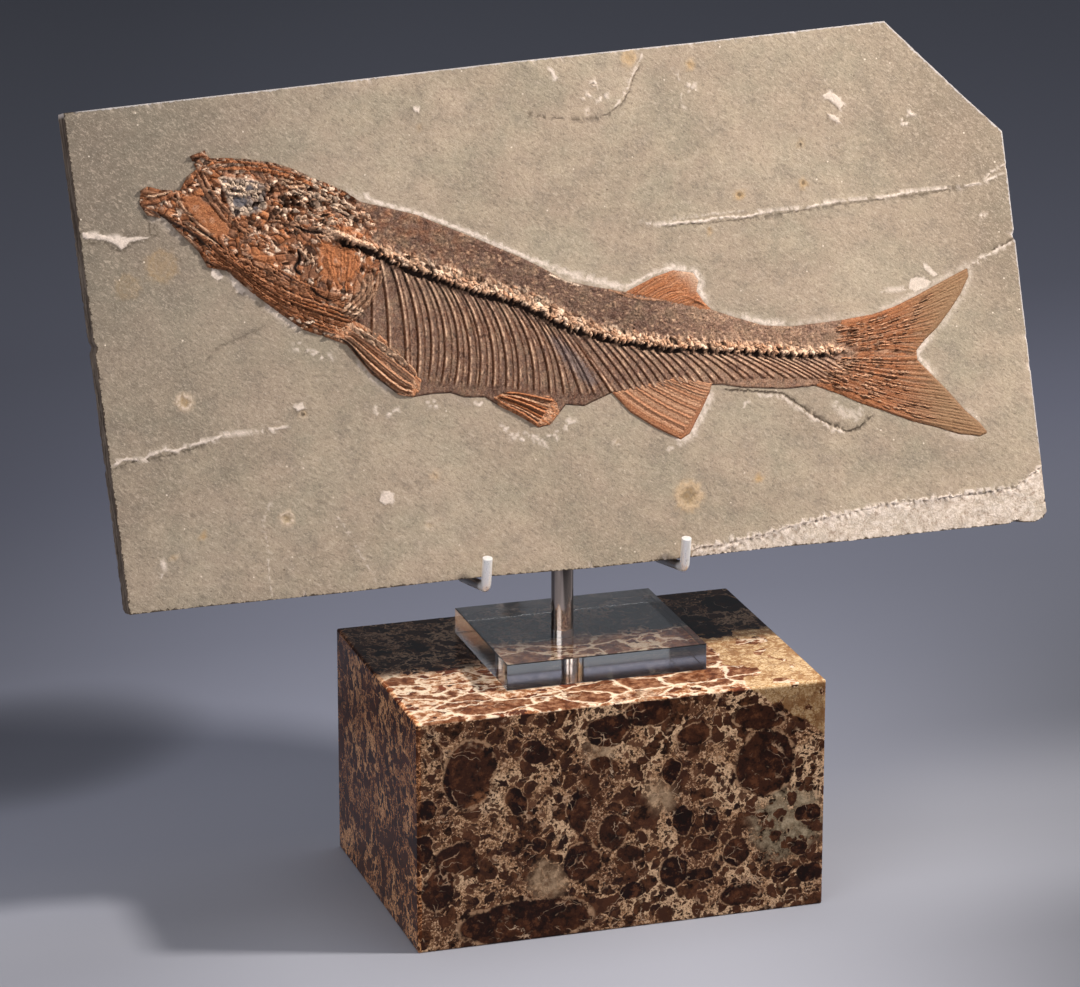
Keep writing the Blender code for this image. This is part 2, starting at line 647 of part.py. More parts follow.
def prong_directions():
    """Up the prong, which leans away from the slab, and square to it towards the slab."""
    rise = Vector((0.0, -math.sin(HOOK_TIP), math.cos(HOOK_TIP)))
    square = Vector((0.0, math.cos(HOOK_TIP), math.sin(HOOK_TIP)))
    return rise, square


def slab_rear_edge():
    return SLAB_EDGE - slab_directions()[1] * SLAB_THICKNESS


def arm_point():
    """A point on the centre line of the arms, under the slab's lower rear edge."""
    return slab_rear_edge() - arm_directions()[1] * (ROD_DIAMETER / 2 + TOUCH_GAP)


def hook_route(x):
    """The centre line of one hook: forward under the slab's lower rear edge, round a bend and up in front of it."""
    along, lift = arm_directions()
    rise, square = prong_directions()
    on_prong = SLAB_EDGE - square * (ROD_DIAMETER / 2 + TOUCH_GAP)
    corner = on_prong + rise * ((arm_point() - on_prong).dot(lift) / rise.dot(lift))
    corner.x = x
    turn = math.radians(90.0) - 2 * HOOK_TIP
    reach = HOOK_BEND_RADIUS * math.tan(turn / 2)
    centre = corner + along * reach + lift * HOOK_BEND_RADIUS
    route = [corner + along * ARM_LENGTH]
    for step in range(7):
        angle = turn * step / 6
        route.append(centre - lift * HOOK_BEND_RADIUS * math.cos(angle) - along * HOOK_BEND_RADIUS * math.sin(angle))
    route.append(corner + rise * ((HOOK_TOP - corner.z) / rise.z))
    return route


def hook(name, x, finish, segments=16):
    """A rod swept along the hook's route, with flat eased ends."""
    route = hook_route(x)
    radius = ROD_DIAMETER / 2
    eased = 0.0004
    stations = []
    for index, point in enumerate(route):
        before = route[max(index - 1, 0)]
        after = route[min(index + 1, len(route) - 1)]
        stations.append((point, (after - before).normalized(), radius))
    first, second = stations[0], stations[-1]
    stations.insert(1, (first[0] + first[1] * eased, first[1], radius))
    stations[0] = (first[0], first[1], radius - eased)
    stations[-1] = (second[0] - second[1] * eased, second[1], radius)
    stations.append((second[0], second[1], radius - eased))
    across = Vector((1.0, 0.0, 0.0))
    bm = bmesh.new()
    rings = []
    for point, heading, size in stations:
        up = heading.cross(across)
        rings.append([bm.verts.new(point + across * size * math.cos(math.tau * i / segments)
                                   + up * size * math.sin(math.tau * i / segments)) for i in range(segments)])
    for low, high in zip(rings, rings[1:]):
        join_rings(bm, low, high)
    bm.faces.new(rings[0])
    bm.faces.new(rings[-1])
    return smooth(add_object(name, bm, finish))


def stand():
    steel = material("polished_steel", (0.62, 0.60, 0.58), 0.12, metallic=1.0)
    acrylic = material("clear_acrylic", (0.93, 0.96, 0.97), 0.03, transmission=1.0)
    marble = material("brown_marble", (0.20, 0.11, 0.065), 0.15)
    rubber = material("black_rubber", (0.02, 0.02, 0.02), 0.8)

    bar = cross_bar_centre()
    block = box("marble_block", Vector((BLOCK_WIDTH, BLOCK_DEPTH, BLOCK_HEIGHT)),
                Vector((0.0, 0.0, BLOCK_HEIGHT / 2)), BLOCK_EASED_EDGE, marble)
    plate_low = BLOCK_HEIGHT + TOUCH_GAP
    plate = box("acrylic_plate", Vector((PLATE_WIDTH, PLATE_DEPTH, PLATE_THICKNESS)),
                PLATE_CENTRE + Vector((0.0, 0.0, plate_low + PLATE_THICKNESS / 2)), PLATE_EASED_EDGE, acrylic)
    hole = POST_DIAMETER / 2 + TOUCH_GAP
    socket_low = BLOCK_HEIGHT - POST_SOCKET_DEPTH
    drill(block, hole, POST_CENTRE, socket_low, BLOCK_HEIGHT + 0.01)
    drill(plate, hole, POST_CENTRE, BLOCK_HEIGHT - 0.01, plate_low + PLATE_THICKNESS + 0.01)
    rod("post", POST_DIAMETER, POST_CENTRE + Vector((0.0, 0.0, socket_low + TOUCH_GAP)),
        bar - Vector((0.0, 0.0, CROSS_BAR_DIAMETER / 2 + TOUCH_GAP)), steel, segments=32)
    for name, x in HOOK_PLACES.items():
        hook(name, x, steel)
    bar_left = bar.copy()
    bar_left.x = min(HOOK_PLACES.values()) - CROSS_BAR_OVERHANG
    bar_right = bar.copy()
    bar_right.x = max(HOOK_PLACES.values()) + CROSS_BAR_OVERHANG
    rod("cross_bar", CROSS_BAR_DIAMETER, bar_left, bar_right, steel)
    back_rest(bar, steel, rubber)


def cross_bar_centre():
    """The bar lies on the arms, straight above the post."""
    along, lift = arm_directions()
    on_arms = arm_point() + lift * (ROD_DIAMETER / 2 + TOUCH_GAP + CROSS_BAR_DIAMETER / 2)
    centre = on_arms + along * ((POST_CENTRE.y - on_arms.y) / along.y)
    centre.x = POST_CENTRE.x
    return centre


def back_rest(bar, steel, rubber):
    """The sloping spine behind the slab, its short level bar, and the two sleeves that the slab leans on."""
    up, out = slab_directions()
    spine_foot = bar + up * (CROSS_BAR_DIAMETER / 2 + TOUCH_GAP)
    spine_top = spine_foot + up * SPINE_LENGTH
    rod("back_spine", SPINE_DIAMETER, spine_foot, spine_top, steel)
    rest = spine_top - up * REST_BAR_FROM_SPINE_TOP
    rest = rest + out * (SPINE_DIAMETER / 2 + TOUCH_GAP + REST_BAR_DIAMETER / 2)
    half = Vector((REST_BAR_LENGTH / 2, 0.0, 0.0))
    rod("rest_bar", REST_BAR_DIAMETER, rest - half, rest + half, steel)
    sleeve_diameter = 2 * ((slab_rear_edge() - rest).dot(out) - TOUCH_GAP)
    for name, side in (("left_sleeve", -1.0), ("right_sleeve", 1.0)):
        outer = rest + Vector((side * (REST_BAR_LENGTH / 2 - SLEEVE_INSET), 0.0, 0.0))
        inner = outer - Vector((side * SLEEVE_LENGTH, 0.0, 0.0))
        rod(name, sleeve_diameter, inner, outer, rubber, bore=REST_BAR_DIAMETER + TOUCH_GAP * 2)


clear_scene()
placed = slab_frame()
slab(placed)
fish(placed)
stand()
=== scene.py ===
"""The looks of a fossil fish slab on its display stand: studio, marble block, clear plate, steel stand, slab
and fish."""
import contextlib
import math
import random

import bpy
import numpy as np
from mathutils import Matrix, Vector, noise


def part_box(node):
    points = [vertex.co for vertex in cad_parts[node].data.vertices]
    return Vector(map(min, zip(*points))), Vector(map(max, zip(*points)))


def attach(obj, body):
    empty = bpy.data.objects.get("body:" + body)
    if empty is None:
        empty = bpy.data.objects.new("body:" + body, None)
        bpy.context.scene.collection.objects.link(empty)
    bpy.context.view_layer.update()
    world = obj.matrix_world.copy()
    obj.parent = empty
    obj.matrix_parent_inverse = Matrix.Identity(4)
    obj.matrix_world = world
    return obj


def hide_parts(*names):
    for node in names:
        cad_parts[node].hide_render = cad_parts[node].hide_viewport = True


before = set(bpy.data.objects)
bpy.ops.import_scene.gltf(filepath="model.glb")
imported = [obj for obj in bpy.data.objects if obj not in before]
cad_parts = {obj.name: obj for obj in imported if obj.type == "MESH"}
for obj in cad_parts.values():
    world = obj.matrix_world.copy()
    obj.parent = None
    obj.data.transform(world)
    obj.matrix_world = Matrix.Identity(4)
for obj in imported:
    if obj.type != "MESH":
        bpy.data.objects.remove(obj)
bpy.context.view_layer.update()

bpy.ops.object.select_all(action="DESELECT")

# The studio: a pale floor that sweeps up into a far blue-grey backdrop, a hard-edged key light from the
# right, a broad weak fill from the left, a soft light overhead and a faint card behind. None of it is part of
# the object.
FLOOR_SIZE = 22.0
SWEEP_START = 4.4
SWEEP_RADIUS = 0.8
WALL_HEIGHT = 8.5


class Field:
    """One socket of a material's nodes. Sums on fields add Math nodes, so shader maths reads as
    arithmetic."""

    def __init__(self, tree, socket=None):
        self.tree = tree
        self.socket = socket

    def add(self, kind, settings=None, inputs=None, output=0):
        """Adds a node: its settings are set first, then the values or links of its sockets, by name or
        number."""
        node = self.tree.nodes.new(kind)
        for name, value in (settings or {}).items():
            if name == "stops":
                ramp = node.color_ramp
                while len(ramp.elements) < len(value):
                    ramp.elements.new(0.5)
                for element, (place, tone) in zip(ramp.elements, value):
                    element.position = place
                    element.color = (*tone, 1.0)
            else:
                setattr(node, name, value)
        for name, value in (inputs or {}).items():
            if isinstance(value, Field):
                self.tree.links.new(value.socket, node.inputs[name])
            else:
                node.inputs[name].default_value = value
        return Field(self.tree, node.outputs[output])

    def math(self, operation, first, second=0.0):
        """Adds one Math node."""
        return self.add("ShaderNodeMath", {"operation": operation}, {0: first, 1: second})

    def __add__(self, other):
        return self.math("ADD", self, other)

    __radd__ = __add__

    def __sub__(self, other):
        return self.math("SUBTRACT", self, other)

    def __rsub__(self, other):
        return self.math("SUBTRACT", other, self)

    def __mul__(self, other):
        return self.math("MULTIPLY", self, other)

    __rmul__ = __mul__

    def off(self, value):
        """How far the field is from a value."""
        return self.math("ABSOLUTE", self - value)

    def squared(self):
        """The field times itself."""
        return self.math("POWER", self, 2.0)

    def ramp(self, low, high, bottom=0.0, top=1.0):
        """Rises smoothly from bottom to top while the field goes from low to high, and falls if low is the
        higher."""
        if low > high:
            low, high, bottom, top = high, low, top, bottom
        return self.add("ShaderNodeMapRange", {"interpolation_type": "SMOOTHSTEP"},
                        {"Value": self, "From Min": low, "From Max": high, "To Min": bottom, "To Max": top})

    def tones(self, *stops):
        """Turns the field into colours, by (place, colour) stops."""
        return self.add("ShaderNodeValToRGB", {"stops": stops}, {0: self})

    def over(self, under, tone, blend="MIX"):
        """Lays a colour over another where the field is 1."""
        tone = tone if isinstance(tone, Field) else (*tone, 1.0)
        under = under if isinstance(under, Field) else (*under, 1.0)
        return self.add("ShaderNodeMix", {"data_type": "RGBA", "blend_type": blend},
                        {0: self, 6: under, 7: tone}, 2)

    def speckle(self, size, detail=3.0, roughness=0.55, stretch=(1.0, 1.0, 1.0), warp=0.0):
        """Noise on this place, whose grains are about size across."""
        place = self.add("ShaderNodeVectorMath", {"operation": "MULTIPLY"}, {0: self, 1: stretch})
        return self.add("ShaderNodeTexNoise", {}, {"Vector": place, "Scale": 1.0 / size, "Detail": detail,
                                                   "Roughness": roughness, "Distortion": warp})

    def cells(self, size, feature="F1", output="Distance", stretch=(1.0, 1.0, 1.0)):
        """A mosaic on this place, whose cells are about size across."""
        place = self.add("ShaderNodeVectorMath", {"operation": "MULTIPLY"}, {0: self, 1: stretch})
        outputs = {"Distance": 0, "Color": 1}
        if feature == "DISTANCE_TO_EDGE":
            outputs = {"Distance": 0}
        return self.add("ShaderNodeTexVoronoi", {"feature": feature}, {"Vector": place, "Scale": 1.0 / size},
                        outputs[output])

    def bump(self, height, strength, distance):
        """Normals that follow a height."""
        return self.add("ShaderNodeBump", {}, {"Height": height, "Strength": strength, "Distance": distance})


def coats(ground, *layers):
    """Lays (mask, colour) layers over a colour, one after another; a layer may end with how it blends."""
    for mask, *tone in layers:
        ground = mask.over(ground, *tone)
    return ground


def new_material(name):
    """A material with only its Principled shader. Returns the material, a blank field and the shader."""
    made = bpy.data.materials.new(name)
    made.use_nodes = True
    tree = made.node_tree
    return made, Field(tree), tree.nodes["Principled BSDF"]


def feed(field, shader, **links):
    """Links fields to the shader's sockets, whose names have _ for a space."""
    for name, value in links.items():
        field.tree.links.new(value.socket, shader.inputs[name.replace("_", " ")])


def place_mm(field):
    """The place on the object, in millimetres."""
    at = field.add("ShaderNodeTexCoord", output=3)
    return field.add("ShaderNodeVectorMath", {"operation": "SCALE"}, {0: at, "Scale": 1000.0})


def on_slab(field, place):
    """The place in the slab's own millimetres: across its face, up its face and out of it."""
    return field.add("ShaderNodeMapping", {"vector_type": "TEXTURE"},
                     {"Vector": place, "Location": tuple(SLAB_EDGE * 1000.0),
                      "Rotation": (math.radians(90.0) - SLAB_LEAN, 0.0, 0.0)})


def masks(field, names):
    """What was stored at the vertices under these names."""
    return [field.add("ShaderNodeAttribute", {"attribute_name": name}, output=2) for name in names]


def parts_of(place):
    """The x, y and z of a place."""
    return [place.add("ShaderNodeSeparateXYZ", {}, {0: place}, axis) for axis in range(3)]


@contextlib.contextmanager
def editing():
    """Edit mode, left again when its steps are done."""
    bpy.ops.object.mode_set(mode="EDIT")
    yield
    bpy.ops.object.mode_set(mode="OBJECT")


def finished(name):
    """The active object takes its name and is put at the origin, unturned and unscaled, with its place in its
    mesh."""
    piece = bpy.context.object
    piece.name = piece.data.name = name
    bpy.ops.object.transform_apply(location=True, rotation=True, scale=True)
    return piece


bpy.ops.mesh.primitive_plane_add(size=FLOOR_SIZE, location=(0.0, SWEEP_START - FLOOR_SIZE / 2, 0.0))
bpy.ops.object.transform_apply(location=True)
with editing():
    bpy.ops.mesh.select_mode(type="EDGE")
    bpy.ops.mesh.select_all(action="DESELECT")
for edge in bpy.context.object.data.edges:
    ends = [bpy.context.object.data.vertices[i].co.y for i in edge.vertices]
    edge.select = min(ends) > SWEEP_START - 0.01
with editing():
    bpy.ops.mesh.spin(steps=24, angle=math.radians(-90.0), center=(0.0, SWEEP_START, SWEEP_RADIUS),
                      axis=(1.0, 0.0, 0.0))
    bpy.ops.mesh.extrude_region_move(TRANSFORM_OT_translate={"value": (0.0, 0.0, WALL_HEIGHT)})
    bpy.ops.mesh.select_all(action="SELECT")
    bpy.ops.mesh.normals_make_consistent(inside=False)
backdrop = finished("studio_sweep")
bpy.ops.object.shade_smooth()
made, paper, shader = new_material("studio_paper")
x, y, z = parts_of(place_mm(paper))
# How far back on the floor, how far to the right of the camera's own line, and a painted soft shadow spot
# behind.
depth = y + z * 0.9
aside = x - y * 0.315 + 22.0
shade = ((aside + 335.0) * 0.0077).squared() + ((depth - 300.0) * 0.0085).squared()
feet = depth.add("ShaderNodeMapRange", {}, {"Value": depth, "From Min": -300.0, "From Max": 2300.0})
# The tones run pale in front to dark behind, partly as painted falloff of the light.
tone = feet.tones((0.0, (0.335, 0.338, 0.382)), (0.11, (0.315, 0.318, 0.360)), (0.16, (0.240, 0.248, 0.300)),
                  (0.23, (0.185, 0.194, 0.245)), (0.29, (0.150, 0.158, 0.204)), (0.42, (0.112, 0.119, 0.162)),
                  (0.55, (0.090, 0.096, 0.128)), (1.0, (0.110, 0.118, 0.146)))
# Painted light on the paper: painted shade and shadows, and one painted pool of light.
tone = coats(tone,
    # painted shade on the floor to the left, behind the block
    (aside.ramp(-120.0, -520.0) * depth.ramp(100.0, 450.0) * depth.ramp(700.0, 1300.0, 0.50, 0.22),
     (0.03, 0.032, 0.040)),
    # painted shade towards the right side, stronger in front
    (aside.ramp(60.0, 460.0) * depth.ramp(900.0, 0.0, 0.0, 0.90), (0.04, 0.042, 0.050)),
    # the painted shadow spot of the slab
    (shade.ramp(1.0, 0.1) * 0.62, (0.05, 0.052, 0.065)),
    # a painted shadow at the block's front left
    (aside.ramp(-110.0, -280.0) * depth.ramp(80.0, -60.0) * 0.30, (0.12, 0.122, 0.145)),
    # a painted pool of light at the block's front right
    (aside.ramp(130.0, 270.0) * depth.ramp(-170.0, -60.0) * depth.ramp(180.0, 20.0) * 0.22,
     (0.47, 0.475, 0.53)))
feed(paper, shader, Base_Color=tone)
shader.inputs["Roughness"].default_value = 0.95
shader.inputs["Specular IOR Level"].default_value = 0.2
backdrop.data.materials.append(made)

TARGET = Vector((0.0, 0.0, 0.27))
for name, aim, away, size, power, tone in [
        ("key_light", (1.0, -0.44, 0.95), 1.5, 0.16, 33.0, (1.0, 0.955, 0.90)),
        ("fill_light", (-1.3, -1.1, 0.7), 2.4, 1.8, 20.0, (1.0, 0.98, 0.97)),
        ("top_light", (0.1, 0.2, 1.6), 2.0, 1.6, 16.0, (1.0, 0.99, 0.98))]:
    bpy.ops.object.light_add(type="AREA", location=TARGET + Vector(aim).normalized() * away)
    lamp = bpy.context.object
    lamp.name = name
    lamp.rotation_euler = Vector(aim).to_track_quat("Z", "Y").to_euler()
    lamp.data.shape = "DISK"
    lamp.data.size = size
    lamp.data.energy = power
    lamp.data.color = tone
bpy.ops.object.light_add(type="AREA", location=(0.50, 1.60, 0.88))
lamp = bpy.context.object
lamp.name = "back_card"
lamp.rotation_euler = (lamp.location - Vector((0.0, 0.0, 0.15))).to_track_quat("Z", "Y").to_euler()
lamp.data.shape = "RECTANGLE"
lamp.data.size, lamp.data.size_y = 2.4, 0.75
lamp.data.energy = 0.17
lamp.data.spread = math.radians(80.0)
lamp.data.color = (0.90, 0.95, 1.0)
lamp.visible_camera = False

sky = bpy.data.worlds.new("studio_air")
sky.use_nodes = True
sky.node_tree.nodes["Background"].inputs["Color"].default_value = (0.67, 0.68, 0.74, 1.0)
sky.node_tree.nodes["Background"].inputs["Strength"].default_value = 0.42
bpy.context.scene.world = sky
bpy.context.scene.view_settings.view_transform = "Standard"

# The camera: a long lens, 17.5 degrees left of the front and 18 degrees above it.
CAMERA_PLACE = Vector((-0.7906, -2.4320, 1.0536))
CAMERA_AIM = Vector((-0.02256, 0.0, 0.2341))
LENS_MM = 158.5
bpy.ops.object.camera_add(location=CAMERA_PLACE)
camera = bpy.context.object
camera.rotation_euler = (CAMERA_PLACE - CAMERA_AIM).to_track_quat("Z", "Y").to_euler()
camera.data.sensor_width = 36.0
camera.data.sensor_fit = "HORIZONTAL"
camera.data.lens = LENS_MM
camera.data.clip_end = 50.0
bpy.context.scene.camera = camera

# The marble block: one polished piece of brown breccia, dark rounded clasts in a cracked tan and cream
# ground, with a pale bed at its upper right. Its top is painted lighter along the front, where the key light
# falls, and painted darker behind, in the slab's shadow; the pale bed is painted darker on the faces below
# the top. It is a plain sawn block, so its imported solid stays and takes the finish.
MARBLE_FRONT = -84.0
# Each clast at the front: (x, z, half width, half height, turn in degrees).
CLASTS = [(-57, 11, 40, 14, 0), (-98, 54, 13, 9, -20), (-108, 37, 9, 13, 10),
          (-90, 103, 15, 21, 15), (-6, 59, 9, 11, 0), (-26, 74, 7, 13, 0),
          (-24, 43, 11, 12, 20), (30, 31, 8, 10, 0), (67, 38, 8, 9, 0),
          (84, 90, 18, 20, 0), (35, 61, 5, 10, 0), (52, 59, 5, 8, 0),
          (-9, 120, 13, 9, -10), (14, 128, 13, 8, 0), (45, 27, 9, 4, 0),
          (105, 36, 6, 4, 0), (112, 21, 8, 6, 0), (96, 23, 6, 4, 0),
          (48, 46, 8, 5, 0), (-13, 100, 6, 5, 0), (4, 45, 8, 5, 20),
          (28, 92, 6, 7, 0), (80, 118, 16, 8, 10), (-49, 57, 4, 5, 0),
          (-116, 62, 6, 9, 0), (-114, 85, 6, 7, 0), (111, 57, 8, 5, 0),
          (42, 112, 10, 7, 0), (-52, 112, 9, 6, 30), (70, 12, 12, 7, 0),
          (-62, 84, 6, 9, -30), (4, 22, 7, 5, 0)]
made, marble, shader = new_material("brown_breccia_marble")
mm = place_mm(marble)


def drifted(scale, reach):
    """The place in the block, led astray by soft noise."""
    away = mm.add("ShaderNodeTexNoise", {}, {"Vector": mm, "Scale": scale, "Detail": 4.0, "Roughness": 0.6},
                  1)
    away = mm.add("ShaderNodeVectorMath", {"operation": "SUBTRACT"}, {0: away, 1: (0.5, 0.5, 0.5)})
    return mm.add("ShaderNodeVectorMath", {"operation": "MULTIPLY_ADD"},
                  {0: away, 1: (reach, reach, reach), 2: mm})


drift, wavy = drifted(0.05, 20.0), drifted(0.10, 8.0)


def sorts(size, channel):
    """The edges of a mosaic on the drifted place, and one chance for each of its cells."""
    return drift.cells(size, "DISTANCE_TO_EDGE"), parts_of(drift.cells(size, output="Color"))[channel]


def near_to(place_x, place_z, radius, soft):
    """1 near a place on the block's front, 0 away from it, with a ragged edge."""
    centre = (place_x, MARBLE_FRONT, place_z)
    off = drift.add("ShaderNodeVectorMath", {"operation": "DISTANCE"}, {0: drift, 1: centre}, 1)
    return off.ramp(radius + soft, radius - soft)


def pebbles(size, channel, least, most):
    """Rounded grains on the drifted place: where they are, and one chance for each."""
    chance = parts_of(drift.cells(size, output="Color"))[channel]
    return (drift.cells(size) - chance * (most - least)).ramp(least + 0.05, least), chance


large, large_sort = sorts(27.0, 0)
middle, middle_sort = sorts(9.5, 1)
x, y, z = parts_of(mm)
wavy_x, wavy_y, wavy_z = parts_of(wavy)
cloud = mm.speckle(30.0, 2.0)
smoke = mm.speckle(5.0, 5.0, 0.7)
fine = mm.speckle(1.3, 4.0, 0.8)
rounds = []
for place_x, place_z, half_x, half_z, turned in CLASTS:
    at = wavy.add("ShaderNodeMapping", {"vector_type": "TEXTURE"},
                  {"Vector": wavy, "Location": (place_x, MARBLE_FRONT, place_z),
                   "Rotation": (0.0, math.radians(turned), 0.0), "Scale": (half_x, 26.0, half_z)})
    rounds.append(at.add("ShaderNodeVectorMath", {"operation": "LENGTH"}, {0: at}, 1))
nearest = rounds[0]
for each in rounds[1:]:
    nearest = nearest.math("MINIMUM", nearest, each)
lumped = nearest.ramp(1.03, 0.97)
# Painted light: the front strip of the top, where the key light falls, gets a paler ground and brightened
# clasts.
painted_lit_top = z.ramp(134.6, 135.4) * wavy_y.ramp(6.0, -14.0)
clast = large_sort.tones((0.0, (0.011, 0.004, 0.003)), (0.5, (0.022, 0.008, 0.005)),
                         (1.0, (0.044, 0.015, 0.007)))
clast = coats(clast,
    (smoke.ramp(0.50, 0.66) * 0.75, (0.105, 0.038, 0.017)),
    (smoke.ramp(0.48, 0.36) * 0.8, (0.007, 0.004, 0.003)),
    (near_to(-78.0, 84.0, 7.0, 7.0) * smoke.ramp(0.36, 0.56), (0.30, 0.120, 0.050)))
cement = cloud.tones((0.38, (0.140, 0.060, 0.029)), (0.50, (0.300, 0.160, 0.082)),
                     (0.60, (0.520, 0.335, 0.200)))
cement = coats(cement,
    (fine.ramp(0.53, 0.60) * 0.7, (0.72, 0.48, 0.30)),
    (fine.ramp(0.49, 0.42) * 0.85, (0.022, 0.009, 0.005)))
pale_and_lit_cement = smoke.tones((0.40, (0.230, 0.075, 0.028)), (0.48, (0.50, 0.235, 0.110)), (0.56, (0.88, 0.66, 0.47)))
cement = (painted_lit_top * 0.95).over(cement, pale_and_lit_cement)
body, chance = pebbles(3.2, 2, 0.14, 0.62)
stones = chance.tones((0.0, (0.010, 0.005, 0.003)), (0.4, (0.022, 0.009, 0.006)),
                      (0.75, (0.050, 0.020, 0.011)), (1.0, (0.110, 0.047, 0.024)))
# clasts in the painted lit strip are brightened
stones = (painted_lit_top * 0.9).over(stones, (4.0, 3.3, 3.0), "MULTIPLY")
ground = (body * painted_lit_top.ramp(0.3, 0.7, 0.95, 0.35)).over(cement, stones)
body, chance = pebbles(8.0, 1, 0.10, 0.60)
stones = chance.tones((0.0, (0.009, 0.004, 0.003)), (0.5, (0.022, 0.009, 0.006)),
                      (1.0, (0.060, 0.022, 0.011)))
stones = coats(stones,
    (smoke.ramp(0.50, 0.64) * 0.6, (0.115, 0.045, 0.021)),
    # painted light on the larger clasts in the lit strip
    (painted_lit_top * 0.85, (3.4, 2.6, 2.3), "MULTIPLY"))
ground = (body * (chance + cloud * 0.8).ramp(0.74, 0.80)).over(ground, stones)
angular = middle.ramp(0.045, 0.075) * (middle_sort + cloud * -0.7).ramp(0.28, 0.32)
black = smoke.tones((0.40, (0.012, 0.005, 0.003)), (0.62, (0.095, 0.036, 0.016)))
ground = (angular * painted_lit_top.ramp(0.3, 0.7, 1.0, 0.0)).over(ground, black)
russet = smoke.tones((0.38, (0.085, 0.026, 0.011)), (0.52, (0.20, 0.068, 0.028)),
                     (0.66, (0.42, 0.190, 0.085)))
long_cells = drift.cells(16.0, "DISTANCE_TO_EDGE", stretch=(0.5, 1.0, 1.0))
long_sort = parts_of(drift.cells(16.0, output="Color", stretch=(0.5, 1.0, 1.0)))[0]
slabby = long_sort.ramp(0.38, 0.42) * long_cells.ramp(0.05, 0.10)
ground = (painted_lit_top * slabby * 0.92).over(ground, russet)
beige = near_to(-45.0, 34.0, 11.0, 4.0) + near_to(-14.0, 108.0, 9.0, 4.0) + near_to(22.0, 76.0, 9.0, 4.0)
sandy = smoke.tones((0.40, (0.170, 0.098, 0.055)), (0.58, (0.420, 0.290, 0.180)))
ground = (beige * 0.7).over(ground, sandy)
sunk = (large_sort * 0.8 + cloud * 0.9).ramp(0.58, 0.54) * y.ramp(-72.0, -66.0) * x.ramp(-118.0, -112.0)
lumped = lumped.math("MAXIMUM", lumped, sunk) * painted_lit_top.ramp(0.4, 0.6, 1.0, 0.0)
fade = mm.speckle(12.0, 3.0).ramp(0.50, 0.62)
threads = drift.cells(17.0, "DISTANCE_TO_EDGE", stretch=(0.6, 1.0, 1.3))
ground = coats(ground,
    (lumped, clast),
    (nearest.off(1.0).ramp(0.08, 0.02) * smoke.ramp(0.42, 0.58), (0.30, 0.175, 0.10)),
    (large.ramp(0.020, 0.006) * fade * 0.7, (0.42, 0.26, 0.16)),
    (threads.ramp(0.012, 0.003) * fade * 0.7, (0.56, 0.39, 0.26)),
    (painted_lit_top * long_cells.ramp(0.05, 0.015) * 0.8, (0.92, 0.74, 0.54)),
    # painted shadow: the top behind the front strip is darkened where the slab's shadow falls
    (z.ramp(134.6, 135.4) * wavy_y.ramp(-4.0, 8.0), (0.40, 0.40, 0.44), "MULTIPLY"))
olive = smoke.tones((0.35, (0.034, 0.026, 0.017)), (0.5, (0.150, 0.112, 0.070)), (0.66, (0.34, 0.270, 0.180)))
green = near_to(98.0, 52.0, 21.0, 7.0) * smoke.ramp(0.38, 0.48) * (1.0 - lumped) * (1.0 - body)
ground = (green * 0.9).over(ground, olive)
pale_zone = (wavy_z + wavy_x * 0.717).ramp(189.0, 190.5) * y.ramp(12.0, 6.0)
pale_ground = fine.tones((0.36, (0.34, 0.175, 0.070)), (0.46, (0.54, 0.330, 0.155)),
                         (0.58, (0.76, 0.56, 0.34)))
pale_ground = coats(pale_ground,
    (cloud.ramp(0.56, 0.42) * smoke.ramp(0.56, 0.46) * 0.8, (0.30, 0.140, 0.055)),
    (middle.ramp(0.05, 0.01) * 0.6, (0.22, 0.100, 0.045)),
    # painted shade: the pale bed is darker on the faces below the top
    (z.ramp(134.8, 133.6) * 0.8, (0.36, 0.32, 0.28), "MULTIPLY"))
ground = coats(ground,
    (pale_zone * middle_sort.ramp(0.80, 0.82, 1.0, 0.0), pale_ground),
    (x.ramp(-117.4, -118.0), (1.20, 0.93, 0.72), "MULTIPLY"))
feed(marble, shader, Base_Color=ground)
shader.inputs["Roughness"].default_value = 0.18
shader.inputs["Specular IOR Level"].default_value = 0.10
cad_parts["marble_block"].data.materials.clear()
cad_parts["marble_block"].data.materials.append(made)

# The plate: clear cast acrylic with flame-polished edges, lying on the block with the post through it. Its
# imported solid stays.
made, clear, shader = new_material("clear_cast_acrylic")
mm = place_mm(clear)
low, high = [corner * 1000.0 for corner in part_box("acrylic_plate")]
sawn = [part.off((low[axis] + high[axis]) / 2).ramp((high[axis] - low[axis]) / 2 - 0.5,
                                                    (high[axis] - low[axis]) / 2 - 0.2)
        for axis, part in enumerate(parts_of(mm)[:2])]
feed(clear, shader, Roughness=(sawn[0] + sawn[1]).ramp(0.0, 1.0, 0.05, 0.12))
shader.inputs["Base Color"].default_value = (0.985, 0.985, 0.99, 1.0)
shader.inputs["IOR"].default_value = 1.49
shader.inputs["Transmission Weight"].default_value = 1.0
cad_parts["acrylic_plate"].data.materials.clear()
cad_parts["acrylic_plate"].data.materials.append(made)

